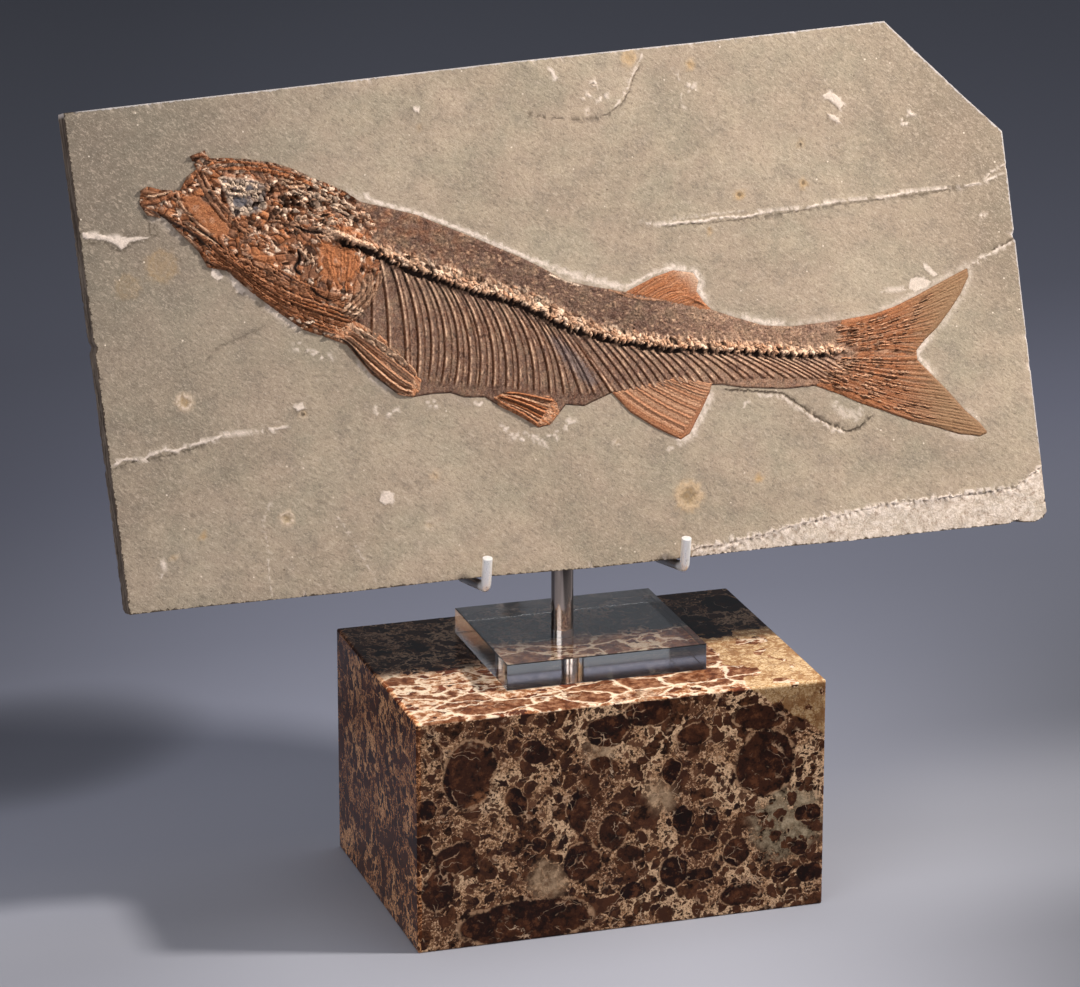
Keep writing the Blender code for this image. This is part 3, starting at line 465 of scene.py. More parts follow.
# The steel: an upright post, two bent hooks and the rods welded behind the slab, all polished stainless. The
# post and the hooks are seen close, so they are turned and bent again here with true round sides.
def steel_of(name, tone, smooth, dull, metal, painted_shade_behind=0.0):
    """Drawn stainless rod, mirror-bright to a frosted satin, whose colour may be painted dark behind its
    front, as shade.
    """
    made, steel, shader = new_material(name)
    brushed = place_mm(steel).speckle(0.5, 4.0, 0.6, (1.0, 1.0, 0.06))
    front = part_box("left_hook")[0].y * 1000.0
    behind = parts_of(place_mm(steel))[1].ramp(front + 10.0, front + 16.0)
    feed(steel, shader, Base_Color=(behind * painted_shade_behind).over(tone, (0.10, 0.085, 0.075)))
    shader.inputs["Metallic"].default_value = metal
    feed(steel, shader, Roughness=brushed.ramp(0.3, 0.7, smooth, dull),
         Normal=steel.bump(brushed, 0.04, 0.0001))
    return made


# The polished steel is tinted brown and darkened: a painted reflection of the brown marble and dim studio.
mirror_steel = steel_of("polished_stainless_steel", (0.50, 0.415, 0.36), 0.05, 0.14, 1.0)
# Satin hooks: their arms behind the front are painted dark, as the shade under the slab.
satin_steel = steel_of("satin_stainless_steel", (0.93, 0.91, 0.89), 0.26, 0.38, 0.45, 0.85)

EASED = 0.0005
SLEEVE_EASED = 0.0007


def ease_ends(piece, width):
    """Eases the sharp edges of a rod and shades its sides smooth."""
    edges = piece.modifiers.new("eased", "BEVEL")
    edges.width = width
    edges.segments = 3
    edges.limit_method = "ANGLE"
    edges.angle_limit = math.radians(50.0)
    bpy.ops.object.modifier_apply(modifier="eased")
    bpy.ops.object.shade_smooth_by_angle(angle=math.radians(35.0))


def straight_rod(name, node, axis):
    """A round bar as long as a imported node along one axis, whose diameter is the node's size across."""
    low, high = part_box(node)
    across = (axis + 1) % 2
    radius = (high[across] - low[across]) / 2 if axis == 2 else (high[2] - low[2]) / 2
    turned = (0.0, 0.0, 0.0) if axis == 2 else (0.0, math.radians(90.0), 0.0)
    bpy.ops.mesh.primitive_cylinder_add(vertices=96, radius=radius, depth=high[axis] - low[axis],
                                        location=(low + high) / 2, rotation=turned)
    rod = finished(name)
    ease_ends(rod, EASED)
    rod.data.materials.append(mirror_steel)
    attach(rod, "root")
    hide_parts(node)


straight_rod("steel_post", "post", 2)
straight_rod("steel_cross_bar", "cross_bar", 0)
straight_rod("steel_rest_bar", "rest_bar", 0)


def round_rod(name, route, diameter, node):
    """A bar bent along a route of points, then capped and eased."""
    path = bpy.data.curves.new(name, "CURVE")
    path.dimensions = "3D"
    path.bevel_depth = diameter / 2
    path.bevel_resolution = 14
    path.use_fill_caps = True
    spline = path.splines.new("POLY")
    spline.points.add(len(route) - 1)
    for point, place in zip(spline.points, route):
        point.co = (*place, 1.0)
    bpy.ops.object.select_all(action="DESELECT")
    bent = bpy.data.objects.new(name, path)
    bpy.context.collection.objects.link(bent)
    bpy.context.view_layer.objects.active = bent
    bent.select_set(True)
    bpy.ops.object.convert(target="MESH")
    rod = finished(name)
    with editing():
        bpy.ops.mesh.select_all(action="SELECT")
        bpy.ops.mesh.remove_doubles(threshold=1e-6)
        bpy.ops.mesh.normals_make_consistent(inside=False)
    ease_ends(rod, EASED)
    rod.data.materials.append(satin_steel)
    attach(rod, "root")
    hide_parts(node)


HOOK_TIP = math.radians(11.0)
HOOK_ROD = 0.0056
HOOK_BEND_RADIUS = 0.0045
ARM_LENGTH = 0.046
along = Vector((0.0, math.cos(HOOK_TIP), -math.sin(HOOK_TIP)))
lift = Vector((0.0, math.sin(HOOK_TIP), math.cos(HOOK_TIP)))
turn = math.radians(90.0) - 2 * HOOK_TIP
for side in ("left", "right"):
    low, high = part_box(side + "_hook")
    reach, drop = HOOK_ROD / 2 * math.cos(HOOK_TIP), HOOK_ROD / 2 * math.sin(HOOK_TIP)
    tip = Vector(((low.x + high.x) / 2, low.y + reach, high.z - drop))
    arm_end = Vector((tip.x, high.y - drop, low.z + reach))
    corner = arm_end - along * ARM_LENGTH
    middle_of_bend = corner + along * HOOK_BEND_RADIUS * math.tan(turn / 2) + lift * HOOK_BEND_RADIUS
    route = [arm_end]
    for step in range(17):
        angle = turn * step / 16
        route.append(middle_of_bend - (lift * math.cos(angle) + along * math.sin(angle)) * HOOK_BEND_RADIUS)
    route.append(tip)
    round_rod("steel_%s_hook" % side, route, HOOK_ROD, side + "_hook")

SLAB_LEAN = math.radians(16.0)
SPINE_ROD = 0.009
low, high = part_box("back_spine")
reach = SPINE_ROD / 2 * math.cos(SLAB_LEAN)
drop = SPINE_ROD / 2 * math.sin(SLAB_LEAN)
middle_x = (low.x + high.x) / 2
round_rod("steel_back_spine", [Vector((middle_x, low.y + reach, low.z + drop)),
                               Vector((middle_x, high.y - reach, high.z - drop))], SPINE_ROD, "back_spine")

# The sleeves: short lengths of black rubber tube pushed on the rest bar, which the slab's back leans on.
made, rubber, shader = new_material("black_rubber")
mm = place_mm(rubber)
bloom = mm.speckle(1.6, 4.0)
feed(rubber, shader, Base_Color=bloom.tones((0.3, (0.016, 0.016, 0.017)), (0.7, (0.032, 0.031, 0.030))),
     Roughness=bloom.ramp(0.3, 0.7, 0.62, 0.82), Normal=rubber.bump(bloom, 0.25, 0.0003))
for side in ("left", "right"):
    low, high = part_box(side + "_sleeve")
    bar_low, bar_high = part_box("rest_bar")
    bpy.ops.mesh.primitive_cylinder_add(vertices=72, radius=(high.z - low.z) / 2, depth=high.x - low.x,
                                        end_fill_type="NOTHING", location=(low + high) / 2,
                                        rotation=(0.0, math.radians(90.0), 0.0))
    sleeve = finished("rubber_%s_sleeve" % side)
    wall = sleeve.modifiers.new("wall", "SOLIDIFY")
    wall.thickness = (high.z - low.z) / 2 - (bar_high.z - bar_low.z) / 2 - 0.0003
    wall.offset = -1.0
    bpy.ops.object.modifier_apply(modifier="wall")
    ease_ends(sleeve, SLEEVE_EASED)
    sleeve.data.materials.append(made)
    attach(sleeve, "root")
    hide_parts(side + "_sleeve")

# The slab: one piece of split limestone, fine-grained and matt, with chipped edges, a flaked ledge at its
# lower right, healed seams and small stained spots. The stone is dressed away round the fish, which leaves a
# pale rim; along the fish's back the rim is also a painted highlight, where its slope faces the light.
# Painted shade darkens the stone towards its left and upper left.
SLAB_EDGE = Vector((0.0, -0.030, 0.1973))
SLAB_THICKNESS = 17.5
SLAB_OUTLINE = [
    (-266.6, 0), (-228, 0.4), (-150, 0.2), (-64, 1.2), (-2, 0), (62.8, 0.5), (110, 1.1),
    (153.5, 0.5), (215, 1), (252, 1), (257, 3), (261, 1), (268, 0.6), (274, 2.6), (276, 6),
    (275.1, 30.1), (271.8, 105), (269.4, 163), (267.9, 166), (269, 170), (266.7, 226.7),
    (243, 250), (199.7, 294.3), (87.8, 289.6), (-30.5, 285.6), (-146, 280.5), (-278.8, 274.8),
    (-273.2, 150), (-271.6, 147), (-272.8, 143), (-269.2, 60),
]
HEAD_OUTLINE = [
    (-142.3, 141.2), (-156.5, 147.1), (-169.3, 157.7), (-183.8, 170.2), (-196.3, 182.6), (-206.7, 185.3),
    (-210.8, 194.1), (-215.1, 199.2), (-228.3, 213.4), (-237.7, 216), (-241.5, 222.4), (-240.3, 230),
    (-236.3, 231.8), (-228.9, 229.4), (-218.4, 228.2), (-213.9, 235.4), (-208.2, 239.2), (-211.4, 246.5),
    (-203, 249.2), (-200.5, 244.6), (-187, 243.8), (-165.9, 239.9), (-156.5, 236.4), (-143.4, 229.7),
    (-127.4, 221.9), (-118, 214.8),
]
BACK_LINE = [(-118, 214.8), (-86.2, 205.1), (-67.1, 196), (-47.9, 186.8), (-28.3, 177), (-17.2, 170.8),
             (-2.8, 161.5), (13.1, 157.2), (31.7, 152.7)]
DORSAL_LINE = [(31.7, 152.7), (48.6, 159.6), (60.8, 162.7), (72.4, 160.3), (75.2, 155.7), (73.6, 149.8),
               (77.4, 143.4), (81.6, 138.7)]
STALK_TOP = [(81.6, 138.7), (94.9, 133.3), (111.8, 127.3), (128.7, 125.3), (159.1, 126.5)]
TAIL_LINE = [
    (159.1, 126.5), (177.7, 128.1), (191.3, 131.3), (205, 136.4), (218.9, 142.2), (238.3, 150), (238.5, 145),
    (233.1, 136), (225.6, 126.7), (216.8, 117.4), (208.2, 110.6), (203.1, 105.5), (203.3, 99.8),
    (209.3, 93.1), (220.3, 80.9), (230, 68.8), (238.7, 60.6), (242.9, 54.6), (238.1, 53.1), (224.9, 55.5),
    (211.9, 60.4), (196.3, 65.6), (180.9, 72.5), (166.8, 78.1), (155.4, 84), (140.2, 90.5),
]
STALK_UNDER = [(140.2, 90.5), (121.7, 90.3), (95.8, 93.3), (84.3, 96), (77.9, 96.5)]
ANAL_LINE = [(77.9, 96.5), (76.6, 92.3), (70.2, 81.6), (62.8, 70.1), (57.1, 67.1), (42.3, 75.4), (28.6, 85.2),
             (18.7, 97)]
BELLY_REAR = [(18.7, 97), (1.9, 91), (-8.7, 92.8), (-12.7, 88.8)]
PELVIC_LINE = [(-12.7, 88.8), (-18.6, 82.5), (-25.9, 81.4), (-36.2, 88.6), (-47.9, 95.4)]
BELLY_FRONT = [(-47.9, 95.4), (-55.4, 100.9), (-67.3, 101.9), (-75.1, 105), (-85, 105.4), (-97, 104.5)]
PECTORAL_LINE = [(-97, 104.5), (-104.9, 106.5), (-119.6, 119.3), (-131.9, 136.5), (-142.3, 141.2)]
FISH_OUTLINE = (HEAD_OUTLINE[:-1] + BACK_LINE[:-1] + DORSAL_LINE[:-1] + STALK_TOP[:-1] + TAIL_LINE[:-1]
                + STALK_UNDER[:-1] + ANAL_LINE[:-1] + BELLY_REAR[:-1] + PELVIC_LINE[:-1] + BELLY_FRONT[:-1]
                + PECTORAL_LINE[:-1])
FACE_GRID = 2.4
BACK_GRID = 5.0
SLAB_MIDDLE = np.array([0.0, 145.0])
FLAKED_LEDGE = [(57, -2), (59.6, 5.2), (75.7, 6), (92.1, 7.5), (123.5, 12.9), (141.6, 15.1), (174.8, 18.9),
                (208, 19.7), (241.5, 20.8), (258.3, 21.7), (265.4, 26.1), (275.7, 33.2)]
FLAKE_DEPTH = 0.55
# Lines on the face: (route, half width, height, how pale, how dark). A negative height is cut in. The lines
# named shadow or under are painted shadow below raised seams and the head, and the pale rims above the
# fish's back are partly a painted highlight.
SEAMS = {
    "back_rim": ([(-118.5, 219), (-108.5, 214.2), (-99.6, 210.6), (-90.7, 207.6), (-81.7, 204.4),
                  (-72.8, 200.6), (-63.9, 196.4), (-57.2, 193.3), (-50.5, 189.8), (-41.6, 185.2),
                  (-32.7, 180.6), (-23.7, 176.4), (-14.7, 172.3), (-8, 169)], 1.15, 0.40, 1.0, 0.0),
    "rear_rim": ([(-11, 170), (-4, 167.3), (1.2, 165), (10.3, 161.8), (19.6, 159.2), (28.7, 155.9),
                  (31.5, 154.2)], 1.8, 0.40, 0.92, 0.0),
    "dorsal_rim": ([(31.5, 154.4), (38.2, 157.8), (45.6, 160.6), (52.8, 162.8), (61, 164.6)], 0.9, 0.30, 0.9,
                   0.0),
    "rim_gap": ([(-53, 191.2), (-45.1, 186.8), (-38.6, 183.6)], 0.28, -0.25, 0.0, 0.35),
    "long_seam": ([(43.6, 191.4), (56.2, 188.6), (67.2, 189.1), (78.1, 188.8), (95.2, 190.3), (105.1, 189.1),
                   (123.4, 191.8), (143.6, 192.1), (153.8, 193), (169.1, 194.2), (189.5, 194.4),
                   (202.8, 195.6), (217.1, 196.5), (231.4, 196.8), (245.8, 197.1), (253.1, 198.5),
                   (260.5, 201.3), (268.4, 203.2)],
                  0.75, 0.40, 1.0, 0.0),
    "long_seam_under": ([(56.2, 187.4), (78.1, 187.4), (105.1, 187.8), (153.8, 191.2), (173.9, 192.4),
                         (196, 193.2), (231.4, 195.4), (258, 198.6)], 0.45, -0.30, 0.0, 0.6),
    "long_seam_branch": ([(253.1, 199.5), (257.8, 203.5), (267.5, 208.2)], 0.55, 0.25, 0.7, 0.0),
    "long_seam_upper": ([(60, 190.5), (84, 192.5), (110, 193)], 0.5, 0.2, 0.5, 0.0),
    "lower_left": ([(-270.6, 80.5), (-269.1, 81.5), (-263, 84.8), (-256.5, 84.9), (-253.8, 82.5),
                    (-248.4, 85.6), (-239.4, 87.9), (-232.2, 87), (-224.7, 89.2), (-215.8, 90.5),
                    (-206.7, 92.6), (-194.9, 93.7), (-175.6, 94.2), (-167.6, 94.6)], 0.8, 0.40, 1.0, 0.0),
    "lower_left_shadow": ([(-269, 79.8), (-260, 82.6), (-248.4, 83.6), (-232.2, 85.2), (-215.8, 88.8)],
                          0.5, -0.45, 0.0, 0.65),
    "upper_left_shadow": ([(-272, 204), (-262, 202.8), (-254.6, 197.4), (-246, 201.6), (-238, 203)],
                          0.5, -0.35, 0.0, 0.5),
    "tail_tip_line": ([(269.4, 164), (262.9, 161), (253.9, 157.7), (246.5, 154.3), (239.8, 152.1)],
                      0.6, 0.30, 0.8, 0.0),
    "tail_tip_under": ([(269.4, 165.2), (262.9, 162.2), (253.9, 158.9)], 0.5, -0.35, 0.0, 0.8),
    "above_the_tail": ([(183.8, 140.2), (192.4, 141.2), (200.2, 140.6)], 0.6, 0.25, 0.7, 0.0),
    "by_the_tail": ([(84, 93), (104, 90.6), (121, 87.8), (131, 79.5), (141, 71.5), (158, 62.8),
                     (166, 65.5), (174.9, 71.9)], 0.6, -0.5, 0.0, 1.5),
    "by_the_tail_flake": ([(150, 80), (156, 74), (163, 71), (168, 75)], 2.6, 0.15, 0.55, 0.0),
    "by_the_tail_lip": ([(104, 88.9), (120, 86.1), (130, 77.8), (141, 69.8), (157, 61.1)],
                        0.7, 0.3, 0.8, 0.0),
    "head_shadow": ([(-213, 133), (-205, 141), (-190, 146), (-176, 151)], 0.7, -0.35, 0.0, 0.35),
    "top_crack": ([(-17.8, 257), (-6.7, 253.5), (0.4, 252.4), (10.3, 251.3), (20.3, 251), (29.1, 252.4),
                   (33.6, 254.8), (39.8, 259.9), (43.9, 265.1), (46.6, 271.7), (49.2, 276.4), (52.4, 280.3)],
                  0.42, -0.35, 0.0, 0.75),
    "top_crack_lip": ([(33.6, 256.2), (38.6, 261), (42.4, 266), (45.2, 272.4), (50.6, 280.3), (53.4, 286)],
                      0.6, 0.25, 0.75, 0.0),
    "top_scratch": ([(-2.6, 284.6), (-0.9, 278.3), (1.6, 274.8)], 0.7, 0.2, 1.0, 0.0),
    "top_faint": ([(73.6, 274.1), (73.4, 263.1), (75.3, 252)], 0.5, 0.15, 0.45, 0.0),
    "scratch_low_left": ([(-246.1, 29.5), (-245.2, 24), (-247.1, 18.1)], 0.65, 0.1, 1.0, 0.0),
    "faint_left": ([(-181.3, 55), (-188.2, 43.4), (-186, 26.6), (-187.1, 13.7), (-186.1, 0.6)], 0.5, 0.12,
                   0.5, 0.0),
    "faint_middle": ([(-145.9, 43), (-141.9, 36.9), (-135.7, 23.2), (-129.2, 11), (-126.2, 3.4)],
                     0.5, 0.12, 0.55, 0.0),
    "vent_line": ([(21.5, 96), (24, 90), (24.5, 84)], 0.5, -0.3, 0.0, 0.4),
    "pale_vent": ([(-35, 80), (-26, 72), (-20, 70)], 1.2, 0.2, 0.4, 0.0),
    "whisker": ([(-239.5, 217.4), (-237.2, 211.6), (-237, 205.9), (-232.8, 204.2)], 0.5, 0.15, 0.0, 0.75),
    "second_whisker": ([(-233.4, 213), (-234.6, 208.8), (-232.8, 204.2)], 0.4, 0.15, 0.0, 0.6),
}
# Flakes of cream calcite in the face: (loop, height, how pale).
FLAKES = [
    ([(-274.4, 209.6), (-271, 209.2), (-265.4, 208.1), (-259.9, 206.3), (-254.1, 206.5), (-250, 204.8),
      (-244.2, 205.1), (-237.9, 203.9), (-244.4, 203), (-248.7, 202.6), (-253.4, 198.5), (-256.7, 201.8),
      (-261.5, 204.3), (-267.1, 205.4), (-273.9, 206.6)], 0.45, 1.0),
    ([(158, 254.4), (164.3, 256.8), (169, 252.2), (171.5, 249.3), (168.5, 246), (164, 250.5)], 0.4, 0.8),
    ([(168.8, 238), (162.9, 240.3), (160.2, 244.3), (165, 243)], 0.4, 0.75),
    ([(-119.5, 53), (-115, 54), (-112.5, 51), (-113.5, 47.5), (-118, 46.5), (-121, 49)], 0.35, 0.9),
    ([(-164.5, 105.5), (-161, 107), (-158.5, 104.5), (-160, 103.2), (-163.5, 102.6)], 0.4, 0.95),
    ([(202.8, 146.4), (207.2, 147.4), (212.7, 145.6), (215.7, 143.8), (212.4, 141), (205, 138.9),
      (201.7, 141.2)],
     0.15, 0.75),
    ([(-204.3, 184.6), (-200.3, 182.6), (-198, 179.1), (-201.5, 177.8), (-205, 180.5)], 0.6, 1.0),
    ([(-194, 180), (-190.4, 176.9), (-186.5, 170.9), (-189.5, 169), (-193.5, 174)], 0.5, 0.8),
    ([(-82.6, 264.4), (-79, 263.4), (-79.4, 261.4), (-82, 262)], 0.35, 0.95),
    ([(211.5, 153.6), (214.6, 153), (219.8, 147.8), (217.6, 146.4), (213, 150.6)], 0.35, 0.8),
]
# Where crumbs of pale stone cling.
CRUMBS = [(-40, 78), (-34, 74.5), (-29, 76), (-24, 73), (-18, 75.5), (-13, 79), (-6, 82), (-45, 84),
          (-117, 99), (-109, 97), (-86, 99.5), (-60, 97), (-152, 134), (-160, 138), (-144, 130),
          (24, 270), (18, 263), (27, 262), (80, 264), (206, 236), (212, 240), (98, 84), (50, 62)]
# Spots on the face: (centre, radius, height, how pale, how ochre, how dark its middle is).
SPOTS = [((58.9, 35.1), 8.6, 0.35, 0.25, 1.0, 0.35), ((-226.2, 113), 4.9, 0.25, 0.6, 0.8, 0.0),
         ((-174.1, 44.2), 4.2, 0.30, 0.5, 0.7, 0.0), ((101.5, 41.1), 2.4, 0.15, 0.1, 0.9, 0.0),
         ((104.2, 201.9), 3.0, 0.20, 0.1, 0.9, 0.6), ((142.7, 205.7), 2.6, 0.20, 0.1, 0.8, 0.6),
         ((143.1, 227.9), 2.2, -0.25, 0.0, 0.3, 0.9), ((81.1, 277), 3.0, 0.20, 0.2, 0.9, 0.0),
         ((44.9, 283.2), 4.5, 0.15, 0.2, 1.0, 0.0), ((-79.7, 252.5), 1.5, -0.20, 0.0, 0.4, 0.9),
         ((19.4, 69.2), 2.0, 0.40, 0.9, 0.2, 0.0), ((-221.8, 38.7), 2.2, 0.20, 0.1, 0.8, 0.0),
         ((-239.5, 28.9), 1.6, 0.20, 0.2, 0.6, 0.0), ((250.7, 178.7), 1.7, 0.40, 0.95, 0.1, 0.0),
         ((-159.5, 100.6), 2.4, -0.55, 0.1, 0.3, 0.8), ((23.2, 267.9), 2.0, 0.25, 0.6, 0.2, 0.0),
         ((17.8, 254.6), 1.8, 0.30, 0.8, 0.2, 0.0), ((-88, 60), 2.6, 0.20, 0.2, 0.5, 0.0),
         ((-93.2, 33), 3.0, 0.20, 0.4, 0.2, 0.0), ((85, 183.5), 1.8, 0.20, 0.1, 0.9, 0.4),
         ((-232, 188), 9.0, 0.00, 0.0, 0.45, 0.0), ((-252, 178), 7.0, 0.00, 0.0, 0.3, 0.0)]


def inside(places, loop):
    """Which of the places lie inside a closed loop."""
    found = np.zeros(len(places), bool)
    for (ax, ay), (bx, by) in zip(loop, loop[1:] + loop[:1]):
        if ay != by:
            crosses = (ay > places[:, 1]) != (by > places[:, 1])
            found ^= crosses & (places[:, 0] < ax + (bx - ax) * (places[:, 1] - ay) / (by - ay))
    return found


def beside(places, route, reach=1e9):
    """For the places within reach of a route: which they are, how far to its left (less than 0 to its right)
    and how far along it, from 0 to 1, and the nearest point on it."""
    route = np.array(route, float)
    near = np.flatnonzero(((places > route.min(0) - reach) & (places < route.max(0) + reach)).all(1))
    here = places[near]
    steps = np.hypot(*np.diff(route, axis=0).T)
    total = steps.sum()
    best = np.full(len(here), 1e9)
    off, share, foot = best.copy(), np.zeros(len(here)), np.zeros((len(here), 2))
    walked = 0.0
    for start, end, step in zip(route, route[1:], steps):
        way = (end - start) / step
        part = np.clip((here - start) @ way, 0.0, step)
        point = start + part[:, None] * way
        gap = here - point
        away = np.hypot(*gap.T)
        closer = away < best
        left = way[0] * (here[:, 1] - start[1]) - way[1] * (here[:, 0] - start[0])
        best[closer] = away[closer]
        off[closer] = np.where(left > 0, away, -away)[closer]
        share[closer] = ((walked + part) / total)[closer]
        foot[closer] = point[closer]
        walked += step
    kept = best < reach
    return near[kept], off[kept], share[kept], foot[kept]


def depth_in(places, loop, reach=1e9):
    """For the places within reach of a closed loop's rim: which they are, and how deep they lie inside it."""
    near, off, _, _ = beside(places, [*loop, loop[0]], reach)
    return near, np.where(inside(places[near], loop), np.abs(off), -np.abs(off))


def off_rim(places, loop):
    """How far each place is from the rim of a closed loop."""
    return np.abs(beside(places, [*loop, loop[0]])[1])


def around(places, centre, reach):
    """Which places lie in a square about a centre."""
    return np.flatnonzero((np.abs(places - centre) < reach).all(1))


def gap_to(places, centre):
    """How far each place is from a centre."""
    return np.hypot(*(places - centre).T)


def unit(values):
    """The values, held between 0 and 1."""
    return np.clip(values, 0.0, 1.0)


def at_least(values, near, floor):
    """Raises some of the values to a floor."""
    values[near] = np.maximum(values[near], floor)


def steps_of(values, low, high):
    """Rises smoothly from 0 to 1 while the values go from low to high."""
    part = unit((values - low) / (high - low))
    return part * part * (3.0 - 2.0 * part)


def grain(places, size, seed=0.0, octaves=3):
    """Soft noise between about -1 and 1, with lumps about size across."""
    return np.array([noise.fractal((x / size, y / size, seed), 0.8, 2.1, octaves) for x, y in places])


def flat_grid(name, loop, spacing):
    """A flat grid over a closed loop, in millimetres, trimmed to it with its rim drawn onto it."""
    low, high = np.min(loop, 0), np.max(loop, 0)
    columns, rows = [int(math.ceil(size / spacing)) for size in high - low]
    bpy.ops.mesh.primitive_grid_add(x_subdivisions=columns, y_subdivisions=rows, size=1.0)
    sheet = bpy.context.object
    sheet.name = sheet.data.name = name
    sheet.scale = (high[0] - low[0], high[1] - low[1], 1.0)
    sheet.location = ((low[0] + high[0]) / 2, (low[1] + high[1]) / 2, 0.0)
    bpy.ops.object.transform_apply(location=True, scale=True)
    trimming = True
    outside = ~inside(places_of(sheet), loop)
    while trimming:
        choose(sheet, outside)
        with editing():
            bpy.ops.mesh.delete(type="VERT")
            bpy.ops.mesh.select_all(action="SELECT")
            bpy.ops.mesh.delete_loose()
        outside = np.bincount(rim_edges(sheet).ravel(), minlength=len(sheet.data.vertices)) > 2
        trimming = outside.any()
    rim = np.unique(rim_edges(sheet))
    places = places_of(sheet)
    places[rim] = beside(places[rim], loop + loop[:1])[3]
    for corner in loop:
        gaps = gap_to(places[rim], corner)
        if gaps.min() < spacing:
            places[rim[gaps.argmin()]] = corner
    move(sheet, np.column_stack([places, np.zeros(len(places))]))
    return sheet


def places_of(sheet, axes=2):
    """The first two or all three coordinates of an object's vertices."""
    points = np.empty(len(sheet.data.vertices) * 3)
    sheet.data.vertices.foreach_get("co", points)
    return points.reshape(-1, 3)[:, :axes].copy()


def move(sheet, points):
    """Gives an object's vertices new places."""
    sheet.data.vertices.foreach_set("co", np.ascontiguousarray(points).ravel())
    sheet.data.update()


def choose(sheet, flags, kind="VERT"):
    """Selects some vertices or edges of an object, and nothing else."""
    with editing():
        bpy.ops.mesh.select_mode(type=kind)
        bpy.ops.mesh.select_all(action="DESELECT")
    elements = sheet.data.vertices if kind == "VERT" else sheet.data.edges
    elements.foreach_set("select", flags)


def rim_flags(sheet):
    """Which edges have only one face."""
    loops = np.empty(len(sheet.data.loops), np.int32)
    sheet.data.loops.foreach_get("edge_index", loops)
    return np.bincount(loops, minlength=len(sheet.data.edges)) == 1


def rim_edges(sheet):
    """The two ends of each edge that has only one face."""
    ends = np.empty(len(sheet.data.edges) * 2, np.int32)
    sheet.data.edges.foreach_get("vertices", ends)
    return ends.reshape(-1, 2)[rim_flags(sheet)]


def keep(sheet, **masks):
    """Stores how strongly each mask shows at each vertex, for the material to read."""
    for name, values in masks.items():
        sheet.data.attributes.new(name, "FLOAT", "POINT").data.foreach_set("value", unit(values))


def set_in_slab(sheet):
    """Turns a piece that was drawn in millimetres on the slab's face to its place in the world."""
    up = Vector((0.0, math.sin(SLAB_LEAN), math.cos(SLAB_LEAN)))
    out = Vector((0.0, -math.cos(SLAB_LEAN), math.sin(SLAB_LEAN)))
    turned = Matrix((Vector((1.0, 0.0, 0.0)), up, out)).transposed().to_4x4()
    bpy.ops.object.select_all(action="DESELECT")
    bpy.context.view_layer.objects.active = sheet
    sheet.select_set(True)
    sheet.matrix_world = Matrix.Translation(SLAB_EDGE) @ turned @ Matrix.Scale(0.001, 4)
    bpy.ops.object.transform_apply(location=True, rotation=True, scale=True)


